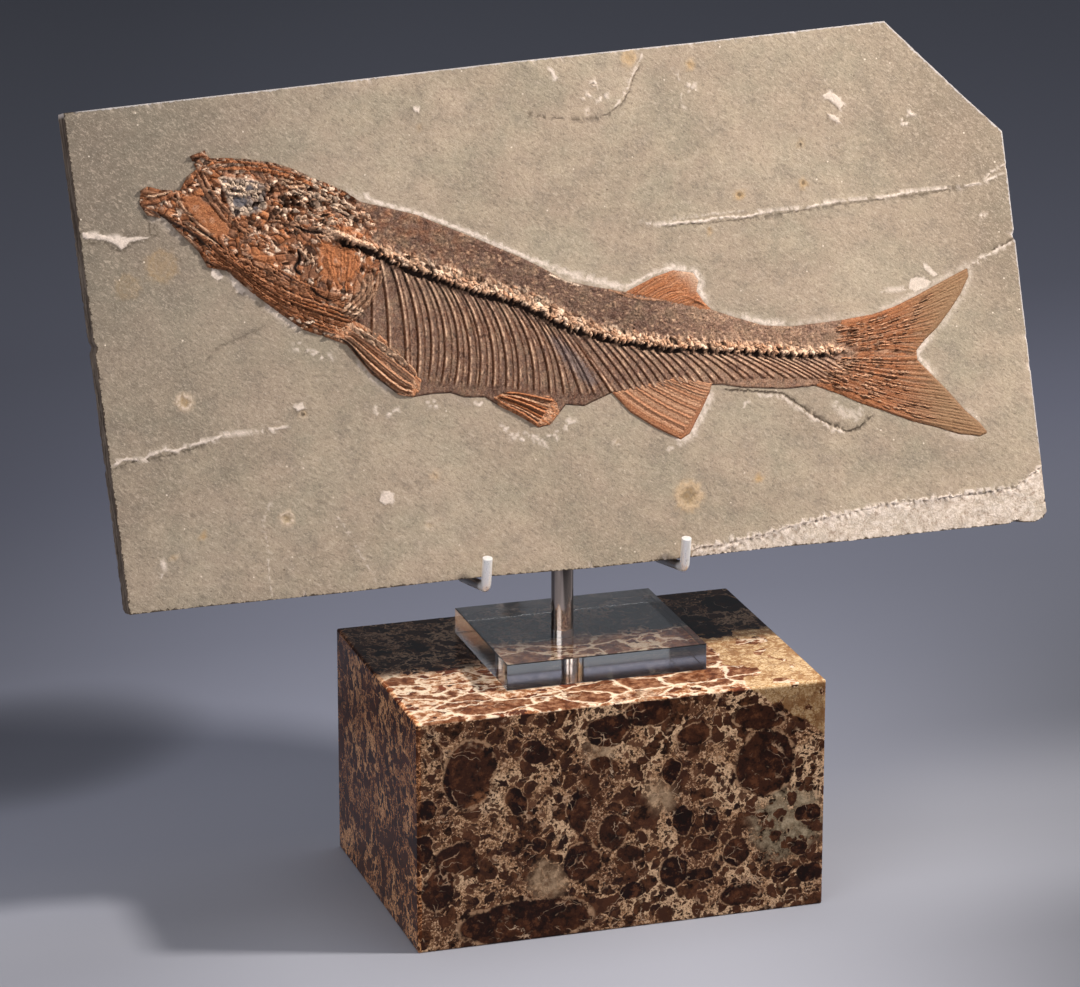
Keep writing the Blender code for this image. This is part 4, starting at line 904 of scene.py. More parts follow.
def face_relief(places):
    """The height of the slab's face and the masks that go with it."""
    height = 0.35 * np.sin(places[:, 0] / 61.0 + 0.8) * np.cos(places[:, 1] / 47.0) - 0.35
    height += grain(places, 34.0, 3.0) * 0.22 + grain(places, 7.0, 7.0) * 0.13
    pale, dark, ochre = np.zeros(len(places)), np.zeros(len(places)), np.zeros(len(places))
    rough = grain(places, 2.6, 11.0)
    crumbs = grain(places, 1.9, 15.0, 2)

    near, off, share, _ = beside(places, FLAKED_LEDGE, 40.0)
    wander = off + rough[near] * 0.7
    under = (places[near, 0] > 56.0) * steps_of(-wander, -0.2, 0.5)
    height[near] -= FLAKE_DEPTH * under
    height[near] += under * grain(places[near], 12.0, 21.0) * 0.35
    at_least(pale, near, under * (0.46 + 0.25 * crumbs[near]))
    lip = steps_of(np.abs(wander + 0.9 + 1.6 * rough[near]), 3.2, 1.2) * (share > 0.03)
    height[near] += lip * (0.15 + 0.55 * crumbs[near])
    at_least(pale, near, lip * unit(0.75 + 1.3 * crumbs[near]))
    at_least(dark, near, lip * np.clip(-0.35 - 1.8 * crumbs[near], 0.0, 0.35))

    for route, half, rise, paleness, darkness in SEAMS.values():
        near, off, share, _ = beside(places, route, half * 3.2)
        wander = np.abs(off + rough[near] * 0.55 + grain(places[near], 5.0, 27.0, 2) * 0.5)
        body = steps_of(wander, half * 1.25, half * 0.6)
        ends = steps_of(share, -0.01, 0.04) * steps_of(share, 1.01, 0.94)
        broken = unit(0.80 + crumbs[near] * (1.9 if paleness < 0.9 else 0.9))
        height[near] += rise * body * ends * broken
        at_least(pale, near, paleness * body * ends * broken)
        at_least(dark, near, darkness * body * ends * unit(1.0 + crumbs[near]))

    for loop, rise, paleness in FLAKES:
        near, depth = depth_in(places, loop, 12.0)
        depth += rough[near] * 0.45
        body = steps_of(depth, -0.25, 0.25)
        height[near] += rise * body * (0.8 + 0.5 * crumbs[near])
        at_least(pale, near, paleness * body * unit(0.95 + 0.5 * crumbs[near]))
        at_least(dark, near, 0.45 * np.exp(-((depth + 0.55) / 0.4) ** 2) * unit(0.5 + crumbs[near]))

    for centre, radius, rise, paleness, ochreness, darkness in SPOTS:
        near = around(places, centre, radius * 1.9)
        gap = gap_to(places[near], centre) / radius + rough[near] * 0.22 + crumbs[near] * 0.12
        ring = np.exp(-((gap - 0.78) / 0.24) ** 2)
        height[near] += rise * (ring - 0.7 * steps_of(gap, 0.65, 0.2))
        at_least(pale, near, paleness * ring * unit(0.8 + 0.8 * crumbs[near]))
        filled = np.maximum(ring, steps_of(gap, 1.0, 0.6) * (0.75 if radius > 4.0 else 1.0))
        at_least(ochre, near, ochreness * filled * unit(0.85 + 0.5 * crumbs[near]))
        at_least(dark, near, darkness * steps_of(gap, 0.55, 0.25))

    scatter = random.Random(41)
    for centre in CRUMBS:
        for _ in range(4):
            spot = (centre[0] + scatter.uniform(-3.0, 3.0), centre[1] + scatter.uniform(-2.0, 2.0))
            near = around(places, spot, 2.6)
            gap = np.hypot(*((places[near] - spot) * (scatter.uniform(0.6, 1.0), 1.0)).T) + rough[near] * 0.7
            body = steps_of(gap, scatter.uniform(0.9, 1.6), 0.3)
            height[near] += body * 0.3
            at_least(pale, near, body * scatter.uniform(0.5, 0.95))
    for _ in range(120):
        spot = (scatter.uniform(-270.0, 268.0), scatter.uniform(4.0, 284.0))
        radius = scatter.uniform(1.6, 4.5)
        near = around(places, spot, radius * 1.5)
        gap = gap_to(places[near], spot) / radius + rough[near] * 0.4
        height[near] += steps_of(gap, 1.0, 0.35) * scatter.choice((-0.22, 0.16))

    near, depth = depth_in(places, FISH_OUTLINE, 26.0)
    away = -depth
    flat = steps_of(away, 26.0, 4.0)
    height[near] *= 1.0 - flat * 0.9
    along_u, along_v = places[near].T
    # Above the backbone the pale rim is partly scraped stone, partly a painted highlight on the lit slope.
    back = steps_of(along_v - np.interp(along_u, *np.array(BACKBONE_LINE).T), 4.0, 12.0) * (along_u > -125.0)
    patchy = np.clip(0.85 + 1.2 * grain(places[near], 9.0, 61.0, 2), 0.15, 1.0)
    rims = np.maximum(0.05, back * patchy * 0.4)
    for centre, radius, strength in RIM_PATCHES:
        gap = gap_to(places[near], centre) / radius
        rims = np.maximum(rims, strength * steps_of(gap, 1.0, 0.6))
    wander = away + rough[near] * 0.7
    band = steps_of(wander, 4.6, 1.4) * (0.75 + 0.9 * rough[near])
    height[near] += rims * band * 0.22
    at_least(pale, near, rims * unit(band * (1.1 + 0.9 * crumbs[near])))
    shut = steps_of(away, 0.2, -1.6)
    height[near] = height[near] * (1.0 - shut) - 0.45 * shut
    within = inside(places, FISH_OUTLINE)
    height[within] = np.minimum(height[within], -0.12)

    off = off_rim(places, SLAB_OUTLINE)
    bites = grain(places, 5.0, 31.0, 2)
    left = (places[:, 0] < -258.0) & (places[:, 1] < 272.0)
    height -= steps_of(off + rough * 0.2, 0.5, 0.05) * 0.18
    chipped = steps_of(off, 3.4, 0.6) * steps_of(bites, 0.42, 0.62)
    height -= chipped * 0.9
    pale = np.maximum(pale, np.where(left, 0.0, chipped * 0.45))
    return height, pale, dark, ochre, off / 4.0


BACKBONE_LINE = [(-137, 199), (-108, 189.7), (-93, 181.5), (-72, 172.4), (-51, 162.2), (-32, 153.5),
                 (-18, 147.5), (0, 138.7), (22, 130), (44, 123.5), (74, 118.5), (104, 115.6),
                 (139, 110.4), (168, 107.3)]
RIM_PATCHES = [((76, 154), 12.0, 1.0), ((62, 163.5), 9.0, 0.9), ((70, 81), 17.0, 0.9),
               ((206, 102), 17.0, 0.8), ((112, 130), 16.0, 0.9), ((60, 68), 9.0, 0.8),
               ((-167, 154), 15.0, 0.7), ((-190, 172), 14.0, 0.55), ((-228, 208), 13.0, 0.4),
               ((205, 140), 12.0, 0.5), ((228, 60), 14.0, 0.35), ((-118, 118), 16.0, 0.5)]

slab = flat_grid("limestone", SLAB_OUTLINE, FACE_GRID)
features = [route for route, *_ in SEAMS.values()] + [FLAKED_LEDGE, SLAB_OUTLINE + SLAB_OUTLINE[:1]]
reaches = [1.6] * len(SEAMS) + [2.6, 1.8]
places = places_of(slab)
fine = np.zeros(len(places), bool)
for route, reach in zip(features, reaches):
    fine[beside(places, route, reach)[0]] = True
near, depth = depth_in(places, FISH_OUTLINE, 4.6)
fine[near] |= depth < 1.5
for centre, radius, *_ in SPOTS:
    fine |= gap_to(places, centre) < radius * 1.2
for centre in CRUMBS:
    fine |= gap_to(places, centre) < 4.0
for loop, *_ in FLAKES:
    fine[depth_in(places, loop, 1.6)[0]] = True
    fine |= inside(places, loop)
choose(slab, fine)
with editing():
    bpy.ops.mesh.subdivide(number_cuts=3, quadcorner="INNERVERT")
places = places_of(slab)
height, pale, dark, ochre, edge = face_relief(places)
move(slab, np.column_stack([places, height]))
keep(slab, pale=pale, dark=dark, ochre=ochre, edge=edge, side=np.zeros(len(places)))

# Its sides: broken down through the layers, so each ring of the wall wanders in and out along the bedding.
face_points = len(slab.data.vertices)
for depth in (-1.6, -4.2, -7.4, -10.8, -14.2, -17.2):
    choose(slab, rim_flags(slab), "EDGE")
    with editing():
        bpy.ops.mesh.extrude_edges_move()
    points = places_of(slab, 3)
    rim = np.unique(rim_edges(slab))
    _, off, _, foot = beside(points[rim, :2], SLAB_OUTLINE + SLAB_OUTLINE[:1])
    toward = SLAB_MIDDLE - foot
    toward /= np.hypot(*toward.T)[:, None]
    steps = 0.25 + 0.5 * grain(foot, 6.0, depth * 3.1, 3) + 0.35 * grain(foot, 1.7, depth * 5.3, 2)
    steps *= np.where(foot[:, 1] > 240.0, 0.25, 1.0)
    points[rim, :2] = foot + toward * np.clip(steps, 0.0, 1.4)[:, None]
    points[rim, 2] = depth
    move(slab, points)
sides = np.arange(len(slab.data.vertices)) >= face_points
slab.data.attributes["side"].data.foreach_set("value", sides.astype(float))
for name in ("pale", "dark", "ochre"):
    values = np.zeros(len(sides), np.float32)
    slab.data.attributes[name].data.foreach_get("value", values)
    slab.data.attributes[name].data.foreach_set("value", np.where(sides, 0.0, values))

# Its back: split and roughly dressed flat, joined to the sides by a bridge between the two rims.
back = flat_grid("limestone_back", SLAB_OUTLINE, BACK_GRID)
places = places_of(back)
low = -SLAB_THICKNESS + 0.25 * grain(places, 16.0, 51.0) + 0.12 * grain(places, 5.0, 57.0)
rim = np.unique(rim_edges(back))
low[rim] = -SLAB_THICKNESS + 0.1
places[rim] += (SLAB_MIDDLE - places[rim]) * 0.004
move(back, np.column_stack([places, np.maximum(low, -SLAB_THICKNESS)]))
with editing():
    bpy.ops.mesh.select_all(action="SELECT")
    bpy.ops.mesh.flip_normals()
keep(back, pale=np.zeros(len(places)), dark=np.zeros(len(places)), ochre=np.zeros(len(places)),
     edge=np.ones(len(places)), side=np.full(len(places), 0.6))
bpy.ops.object.select_all(action="DESELECT")
back.select_set(True)
slab.select_set(True)
bpy.context.view_layer.objects.active = slab
bpy.ops.object.join()
choose(slab, rim_flags(slab), "EDGE")
with editing():
    bpy.ops.mesh.bridge_edge_loops()
bpy.ops.object.shade_smooth_by_angle(angle=math.radians(38.0))
set_in_slab(slab)

made, stone, shader = new_material("split_limestone")
on_face = on_slab(stone, place_mm(stone))
u, v = parts_of(on_face)[:2]
pale, dark, ochre, edge, side = masks(stone, ("pale", "dark", "ochre", "edge", "side"))
cloud = on_face.speckle(95.0, 3.0, 0.6)
mottle = on_face.speckle(18.0, 5.0, 0.7)
blush = on_face.speckle(42.0, 3.0, 0.6, (1.0, 1.3, 1.0))
raked = on_face.add("ShaderNodeMapping", {"vector_type": "TEXTURE"},
                    {"Vector": on_face, "Rotation": (0.0, 0.0, math.radians(-38.0))})
felt = raked.speckle(1.5, 3.0, 0.65, (0.45, 1.0, 1.0), 0.6)
fleck = on_face.speckle(1.15, 3.0, 0.8)
sand = on_face.speckle(0.55, 2.0, 0.7)
crumb = on_face.cells(8.5) + fleck * 0.10
crumb_sort = parts_of(on_face.cells(8.5, output="Color"))[0]
flaked = pale.ramp(0.25, 0.45) * (u + v * -5.0).ramp(-70.0, -30.0) * (v * -1.0).ramp(-34.0, -26.0)
pitted = on_face.speckle(2.6, 4.0, 0.75)
tone = cloud.tones((0.35, (0.312, 0.246, 0.178)), (0.5, (0.365, 0.290, 0.210)), (0.65, (0.415, 0.335, 0.245)))
tone = coats(tone,
    (blush.ramp(0.46, 0.64) * 0.50, (0.420, 0.312, 0.230)),
    (blush.ramp(0.50, 0.34) * 0.50, (0.320, 0.278, 0.200)),
    (mottle.ramp(0.50, 0.66) * 0.45, (0.480, 0.378, 0.270)),
    (mottle.ramp(0.50, 0.34) * 0.45, (0.235, 0.192, 0.148)),
    # painted shade: darker towards the left and upper left, where less key light reaches
    (u.ramp(-60.0, -300.0) * v.ramp(60.0, 230.0, 0.35, 1.0) * 0.74, (0.150, 0.126, 0.098)),
    # darker patches at the upper right and the right middle
    (u.ramp(40.0, 150.0) * v.ramp(170.0, 270.0) * 0.20, (0.195, 0.148, 0.105)),
    (u.ramp(150.0, 275.0) * v.ramp(90.0, 170.0) * 0.55, (0.195, 0.148, 0.105)),
    (felt.ramp(0.52, 0.68) * 0.42, (0.56, 0.45, 0.35)),
    (felt.ramp(0.48, 0.33) * 0.42, (0.155, 0.118, 0.088)),
    (fleck.ramp(0.56, 0.70) * 0.55, (0.60, 0.49, 0.385)),
    (fleck.ramp(0.44, 0.30) * 0.55, (0.120, 0.088, 0.064)),
    (crumb.ramp(0.125, 0.085) * crumb_sort.ramp(0.50, 0.56), (0.74, 0.62, 0.50)),
    (crumb.ramp(0.110, 0.075) * crumb_sort.ramp(0.22, 0.16), (0.085, 0.052, 0.034)),
    (ochre * (0.50 + mottle * 0.6), (0.47, 0.290, 0.120)),
    (pale * (0.60 + fleck * 0.75), (0.77, 0.640, 0.545)),
    (flaked * pitted.ramp(0.51, 0.60) * 0.5, (0.84, 0.73, 0.65)),
    (flaked * pitted.ramp(0.45, 0.38) * 0.6, (0.25, 0.165, 0.115)))
layers = on_face.speckle(2.2, 4.0, 0.7, (0.10, 0.10, 1.0))
broken = layers.tones((0.38, (0.055, 0.038, 0.028)), (0.5, (0.13, 0.098, 0.076)), (0.62, (0.24, 0.19, 0.15)))
# painted light: the top side, which faces up to the light, is lighter than the other sides
broken = (v + u * -0.0408).ramp(283.0, 285.5).over(broken, (0.62, 0.54, 0.50))
arris = edge * 4.0 + pitted * 5.0 - 2.5
soft_arris = edge * 4.0 + pitted * 3.0 - 1.5
# The left and bottom arrises are darkened: partly chips, partly painted shade where they turn from the light.
chipped_and_shaded_rims = u.ramp(-255.0, -262.0) + v.ramp(6.0, 3.0)
light_rims = v.ramp(225.0, 245.0) * u.ramp(-275.0, -268.0) + u.ramp(258.0, 263.0) * v.ramp(34.0, 44.0)
tone = coats(tone,
    (arris.ramp(0.55, 0.25) * chipped_and_shaded_rims.ramp(0.0, 0.9) * 0.92, (0.040, 0.026, 0.018)),
    (soft_arris.ramp(0.75, 0.45) * light_rims.ramp(0.0, 0.9) * 0.6, (0.62, 0.585, 0.585)),
    (side, broken),
    # dark marks: dark cracks and spots, and the painted shadow lines under raised seams
    (dark * 0.9, (0.045, 0.029, 0.019)))
relief = flaked * pitted * 1.6 + fleck * 0.9 + sand * 0.4 + felt * 0.7 + mottle * 0.8 + side * layers * 1.2
feed(stone, shader, Base_Color=tone, Roughness=fleck.ramp(0.3, 0.7, 0.94, 0.80),
     Normal=stone.bump(relief, 0.5, 0.0006))
shader.inputs["Specular IOR Level"].default_value = 0.25
slab.data.materials.clear()
slab.data.materials.append(made)
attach(slab, "root")
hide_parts("limestone_slab")

# The fish: bone and skin pressed flat in the stone. Each region is its own relief sheet in the slab's
# millimetres, on which the bones are laid one by one, each with its stains. One material reads the stains of
# all the sheets.
# Of the stains, the dark one is dark matrix and painted shade in gaps, cracks and holes; shade is a
# brightness that varies at random and also carries painted highlights and painted shade.
STAINS = ("bone", "rust", "pale", "grey", "hollow", "shade")
UNDERSIDE = -0.75
GROOVE = [(-137, 197.4), (-130, 192.9), (-115, 186.9), (-100, 177.6), (-85, 171), (-70, 164.4),
          (-55, 158.1), (-40, 153.3), (-25, 146.6), (-10, 137.5), (5, 131), (20, 125.9), (35, 122.4),
          (50, 119.1), (65, 117), (80, 114.9), (95, 113.3), (110, 110.9), (125, 108.6), (140, 106.9),
          (155, 106.9), (167, 106.4)]
COLUMN_WIDTH = [(-137, 3.5), (-115, 8), (-85, 11.5), (-55, 12.5), (-20, 13), (5, 12), (35, 8.8),
                (95, 8.2), (140, 7.2), (167, 3.5)]
# How a rib runs from the groove, by where it starts: to its bend and to its end.
RIB_RUNS = [(-117.0, 4.0, -26.0, -3.0, -62.0), (-104.5, 7.5, -27.8, 2.5, -63.0),
            (-83.5, 15.4, -27.5, 3.7, -61.0), (-53.7, 12.7, -22.6, 6.0, -54.0),
            (-28.2, 15.2, -20.7, 12.9, -50.5), (-2.8, 8.5, -13.5, 24.8, -38.5),
            (16.6, 11.0, -12.0, 20.5, -30.0), (52.2, 10.0, -8.5, 17.0, -20.5),
            (80.0, 11.0, -6.5, 22.0, -17.0), (110.0, 12.0, -6.0, 28.0, -16.0),
            (150.0, 8.0, -4.0, 16.0, -12.0)]


def curve(controls, count=28):
    """Points at even steps of a smooth curve through the controls."""
    knots = np.array(controls, float)
    knots = np.vstack([2 * knots[0] - knots[1], knots, 2 * knots[-1] - knots[-2]])
    at = np.linspace(0.0, len(controls) - 1.0001, count)
    index = at.astype(int)
    t = (at - index)[:, None]
    a, b, c, d = [knots[index + step] for step in range(4)]
    return 0.5 * (2 * b + (c - a) * t + (2 * a - 5 * b + 4 * c - d) * t ** 2
                  + (3 * b - a - 3 * c + d) * t ** 3)


def fan(first, last, count, seed=1, wander=0.0):
    """Routes that pass from one route to another by even shares."""
    scatter = random.Random(seed)
    first, last = curve(first), curve(last)
    shares = [(index + scatter.uniform(-wander, wander)) / (count - 1) for index in range(count)]
    return [first + (last - first) * share for share in shares]


def slivers(places, flow, wide, long, seed, loose=0.5):
    """A mosaic of slivers, wide by long in half sizes, that lie along the flow. For each place: how near it
    is to its sliver's edge, how far it is from its middle, and three chances of that sliver."""
    step = math.sqrt(wide * long) * 1.7
    low = places.min(0) - 4 * step
    cell = ((places - low) / step).astype(int)
    dice = np.random.default_rng(seed).random((*(cell.max(0) + 4), 6))
    best, second = np.full(len(places), 99.0), np.full(len(places), 99.0)
    chance = np.zeros((len(places), 3))
    for i in range(-2, 3):
        for j in range(-2, 3):
            here = cell + (i, j)
            roll = dice[here[:, 0], here[:, 1]]
            middle = low + (here + roll[:, :2]) * step
            turn = (flow(middle) if callable(flow) else flow) + (roll[:, 2] - 0.5) * loose
            gap = places - middle
            along = (gap[:, 0] * np.cos(turn) + gap[:, 1] * np.sin(turn)) / long
            across = (gap[:, 1] * np.cos(turn) - gap[:, 0] * np.sin(turn)) / wide
            away = np.hypot(along, across)
            nearer = away < best
            second = np.where(nearer, best, np.minimum(second, away))
            chance[nearer] = roll[nearer, 3:]
            best[nearer] = away[nearer]
    return second - best, best, chance


class Relief:
    """The height and the stains of a sheet of bone at each of its places."""

    def __init__(self, places, height):
        self.places = places
        self.height = np.full(len(places), float(height))
        self.stains = {name: np.zeros(len(places)) for name in STAINS}
        self.stains["shade"] += 0.5
        self.rough = grain(places, 1.7, 5.0, 2)
        self.soft = grain(places, 6.0, 9.0, 2)

    def paint(self, near, amount, **stains):
        """Lays stains over what is there."""
        if "shade" not in stains:
            stains["shade"] = self.stains["shade"][near]
        for name, old in self.stains.items():
            old[near] += (stains.get(name, 0.0) - old[near]) * amount

    def darken(self, near, amount):
        """Deepens the dark in gaps and holes: partly dark matrix, partly painted shade."""
        at_least(self.stains["hollow"], near, amount)

    def mosaic(self, where, flow, wide, long, seed, rise, gap, loose=0.5, lost=0.0, **tones):
        """Lays slivers where the mask is not 0. A tone is a range, from which each sliver takes its own
        value. Of the slivers, the share called lost have fallen out and left holes. The cracks between
        slivers and these holes are painted dark, partly as shade."""
        where = where + np.zeros(len(self.places))
        near = np.flatnonzero(where > 0.02)
        edge, away, chance = slivers(self.places[near], flow, wide, long, seed, loose)
        dome = unit(edge * 1.8)
        self.height[near] += where[near] * (rise * dome * (0.35 + chance[:, 0]) - 0.2 * rise)
        given = {name: low + (high - low) * chance[:, (place + 1) % 3] for place, (name, (low, high))
                 in enumerate(tones.items())}
        self.paint(near, where[near], **given)
        cracks = steps_of(edge + self.rough[near] * 0.06, 0.26, 0.04) * gap * (0.3 + 1.1 * chance[:, 1])
        fallen = (chance[:, 1] < lost) * steps_of(edge, 0.05, 0.25)
        self.height[near] -= fallen * where[near] * rise * 1.1
        self.darken(near, unit(cracks + fallen * 0.95) * where[near])

    def strand(self, route, half, rise, gap=0.5, waver=0.3, ends=0.15, lay=1.0, **stains):
        """Lays a thin bone along a route, with dark gaps painted at its sides as its shade, or with a
        negative rise cuts a groove."""
        near, off, share, _ = beside(self.places, route, half * 2.3)
        off = off + self.rough[near] * half * waver
        taper = steps_of(share, -0.01, ends) * steps_of(share, 1.01, 1.0 - ends)
        wide = half * (0.3 + 0.7 * taper)
        body = unit(1.0 - (off / wide) ** 2)
        self.height[near] += rise * np.sqrt(body) * (0.3 + 0.7 * taper)
        self.paint(near, steps_of(body, 0.0, 0.4) * lay, **stains)
        line = np.exp(-((np.abs(off) - wide * 1.2) / (half * 0.38)) ** 2) * gap * (0.2 + 0.8 * taper)
        self.height[near] -= abs(rise) * 0.35 * line
        self.darken(near, line)

    def patch(self, loop, soft, lift=0.0, flatten=0.0, lay=1.0, **stains):
        """Lays one flat bone or a stained area inside a loop, with soft edges."""
        near, depth = depth_in(self.places, loop, 30.0)
        depth += self.rough[near] * soft * 0.6
        body = steps_of(depth, -soft * 0.4, soft)
        level = self.height[near]
        middle = level[body > 0.5].mean() if (body > 0.5).any() else 0.0
        self.height[near] = level + (middle - level) * flatten * body + lift * body
        self.paint(near, body * lay, **stains)

    def pit(self, centre, radius, depth, dark=0.9):
        """Sinks a ragged dark hole."""
        near = around(self.places, centre, radius * 2.0)
        gap = gap_to(self.places[near], centre) / radius + self.rough[near] * 1.1 + self.soft[near] * 0.5
        self.height[near] -= depth * steps_of(gap, 1.1, 0.3)
        self.darken(near, dark * steps_of(gap, 1.0, 0.6))


def bone_sheet(name, loop, spacing, level, lay, rim_drop=0.6, rim_width=1.2):
    """Makes a relief sheet: a grid over the loop, its bones laid by the lay function, its rim closed down
    into stone."""
    sheet = flat_grid(name, loop, spacing)
    relief = Relief(places_of(sheet), level)
    lay(relief)
    relief.height -= rim_drop * steps_of(off_rim(relief.places, loop), rim_width, 0.0)
    relief.height = np.maximum(relief.height, -0.35)
    move(sheet, np.column_stack([relief.places, relief.height]))
    keep(sheet, **relief.stains)
    choose(sheet, rim_flags(sheet), "EDGE")
    with editing():
        bpy.ops.mesh.extrude_edges_move()
    points = places_of(sheet, 3)
    points[np.unique(rim_edges(sheet)), 2] = UNDERSIDE
    move(sheet, points)
    choose(sheet, rim_flags(sheet), "EDGE")
    with editing():
        bpy.ops.mesh.edge_face_add()
    bpy.ops.object.shade_smooth_by_angle(angle=math.radians(60.0))
    set_in_slab(sheet)
    sheet.data.materials.append(fossil_bone)
    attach(sheet, "root")
    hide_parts("fossil_fish")


def lay_backbone(relief):
    """The row of split vertebrae, a bristly pale band, above the groove that their lower halves left. The
    groove is painted black as the shadow under the band.
    """
    near, off, _, foot = beside(relief.places, curve(GROOVE, 100), 15.0)
    width = np.interp(foot[:, 0], *np.array(COLUMN_WIDTH).T)
    beads = 0.5 + 0.5 * np.cos(foot[:, 0] * 2 * math.pi / 6.6)
    rear = steps_of(foot[:, 0], 20.0, 90.0)
    fringe = grain(foot * (1, 0.3) + relief.places[near] * 0.35, 1.9, 77.0, 2)
    half = 1.2 - 0.25 * rear + 2.6 * fringe + 0.3 * relief.soft[near] + rear * (beads - 0.55) * 0.9
    up = off - half
    band = steps_of(up, -0.3, 0.5) * steps_of(up, width - 1.0, width * 0.55)
    crest = steps_of(up, -0.2, 0.9) * steps_of(up, width * 0.95, 1.6)
    start = steps_of(foot[:, 0], -137.5, -128.0) * steps_of(foot[:, 0], 168.0, 150.0)
    tall = np.interp(foot[:, 0], [-130.0, -60.0, 40.0, 160.0], [1.6, 1.7, 1.1, 0.7])
    relief.height[near] += (crest * tall + beads * crest * 0.25) * start
    mask = np.zeros(len(relief.places))
    mask[near] = band * start * (0.75 + 0.25 * crest)
    relief.mosaic(mask, -0.85, 1.05, 2.2, 3, 1.3, 1.0, 0.9, 0.09, bone=(0.45, 1.2),
                  shade=(0.10, 1.1), rust=(-0.2, 0.45), pale=(-1.0, 0.7))
    bright = np.zeros(len(relief.places))
    bright[near] = steps_of(up, -0.1, 0.6) * steps_of(up, 6.5, 2.5) * start
    relief.stains["bone"] = np.maximum(relief.stains["bone"], bright * (0.9 + 0.4 * relief.soft))
    relief.stains["shade"] += bright * 0.32
    # The groove is painted black: painted shadow under the band.
    ragged = off + 1.2 * relief.rough[near] + 1.8 * relief.soft[near]
    trench = steps_of(ragged, -1.5, -1.0) * steps_of(up, 0.35, -0.2) * start
    trench *= 1.0 - rear * 0.75 * steps_of(beads, 0.35, 0.05)
    relief.height[near] -= trench * np.maximum(relief.height[near] - 0.1, 0.3)
    relief.paint(near, trench, hollow=0.98)


def lay_ribs(relief):
    """Ribs and the spines behind them: each overlaps the next like a shingle, with a dark line along its
    front that is partly painted shadow. A painted highlight runs along each lip, and painted shade lies
    just before the next rib."""
    table = np.array(RIB_RUNS)
    groove = curve(GROOVE, 100)
    tops = [(-117.0 + 6.6 * index, 1.0) for index in range(18)]
    tops += [(4.5 + 5.2 * index, 0.85) for index in range(29)]
    tops += [(top + 3.2, 0.5) for top, _ in tops[2:18]] + [(top + 1.7, 0.35) for top, _ in tops[6:18]]
    scatter = random.Random(8)
    since, until = np.full(len(relief.places), 99.0), np.full(len(relief.places), 99.0)
    strength, passed = np.zeros(len(relief.places)), np.ones(len(relief.places))
    for top, strong in tops:
        top += scatter.uniform(-0.5, 0.5)
        bend_u, bend_v, end_u, end_v = [np.interp(top, table[:, 0], table[:, column])
                                        for column in range(1, 5)]
        start = np.array((top, np.interp(top, *groove.T) - 1.2))
        bend = start + (bend_u + scatter.uniform(-0.6, 0.6), bend_v)
        end = start + (end_u + scatter.uniform(-0.8, 0.8), end_v)
        if strong < 0.5:
            bend, end = start + (bend - start) * 0.55, start + (bend - start) * 0.9 + (end - start) * 0.12
        steps = np.linspace(0.0, 1.0, 24)[:, None]
        route = start * (1 - steps) ** 2 + bend * 2 * steps * (1 - steps) + end * steps ** 2
        near, off, share, _ = beside(relief.places, route, 6.6)
        fade = steps_of(share, 1.0, 0.9) * strong
        taken = (off > -0.05) & (off < since[near]) & (share < 0.999)
        since[near[taken]] = off[taken]
        strength[near[taken]] = fade[taken]
        passed[near[taken]] = share[taken]
        taken = (off < 0.05) & (-off < until[near]) & (share < 0.999)
        until[near[taken]] = -off[taken]
        broken = unit(0.72 + relief.rough[near] * 0.35 + relief.soft[near] * 0.35)
        # the dark line along the rib's front: partly dark matrix, partly painted shadow of its edge
        line = np.exp(-((off + 0.16 + 0.14 * relief.rough[near])
                        / (0.62 - 0.20 * share)) ** 2) * fade * broken
        relief.height[near] -= line * 0.55
        relief.paint(near, line * 0.9 * steps_of(share, 0.05, 0.4), rust=1.0, shade=0.25)
        relief.darken(near, unit(line * (1.15 - 0.55 * share + 0.3 * relief.rough[near])))
    shingle = np.exp(-since / 2.3) * strength * steps_of(until, 0.0, 0.5)
    relief.height += shingle * 1.15
    # painted shade just before the next rib, where its edge casts shadow
    relief.stains["shade"] -= 0.30 * strength * steps_of(since, 2.0, 4.5) * steps_of(until, 3.0, 0.5)
    # painted highlight along the lip, where the rib's edge catches the light
    lip = np.exp(-((since - 1.0) / 0.55) ** 2) * strength * steps_of(until, 0.1, 0.5)
    lip *= 0.42 + 0.30 * steps_of(passed, 0.7, 0.1) + 0.9 * relief.soft + 0.6 * relief.rough
    relief.paint(slice(None), unit(lip), bone=0.85, rust=0.15, pale=0.20, shade=0.85)


TRUNK_LOOP = (BACK_LINE + STALK_TOP + [(160.5, 116), (166, 108), (164, 102), (157, 97), (150.9, 93.1)]
              + STALK_UNDER + BELLY_REAR + [(-28, 93)] + BELLY_FRONT
              + [(-104, 112), (-112, 126), (-121, 139), (-125, 150), (-119, 160), (-114, 168),
                 (-114, 180), (-120, 192), (-125, 200), (-123, 210)])


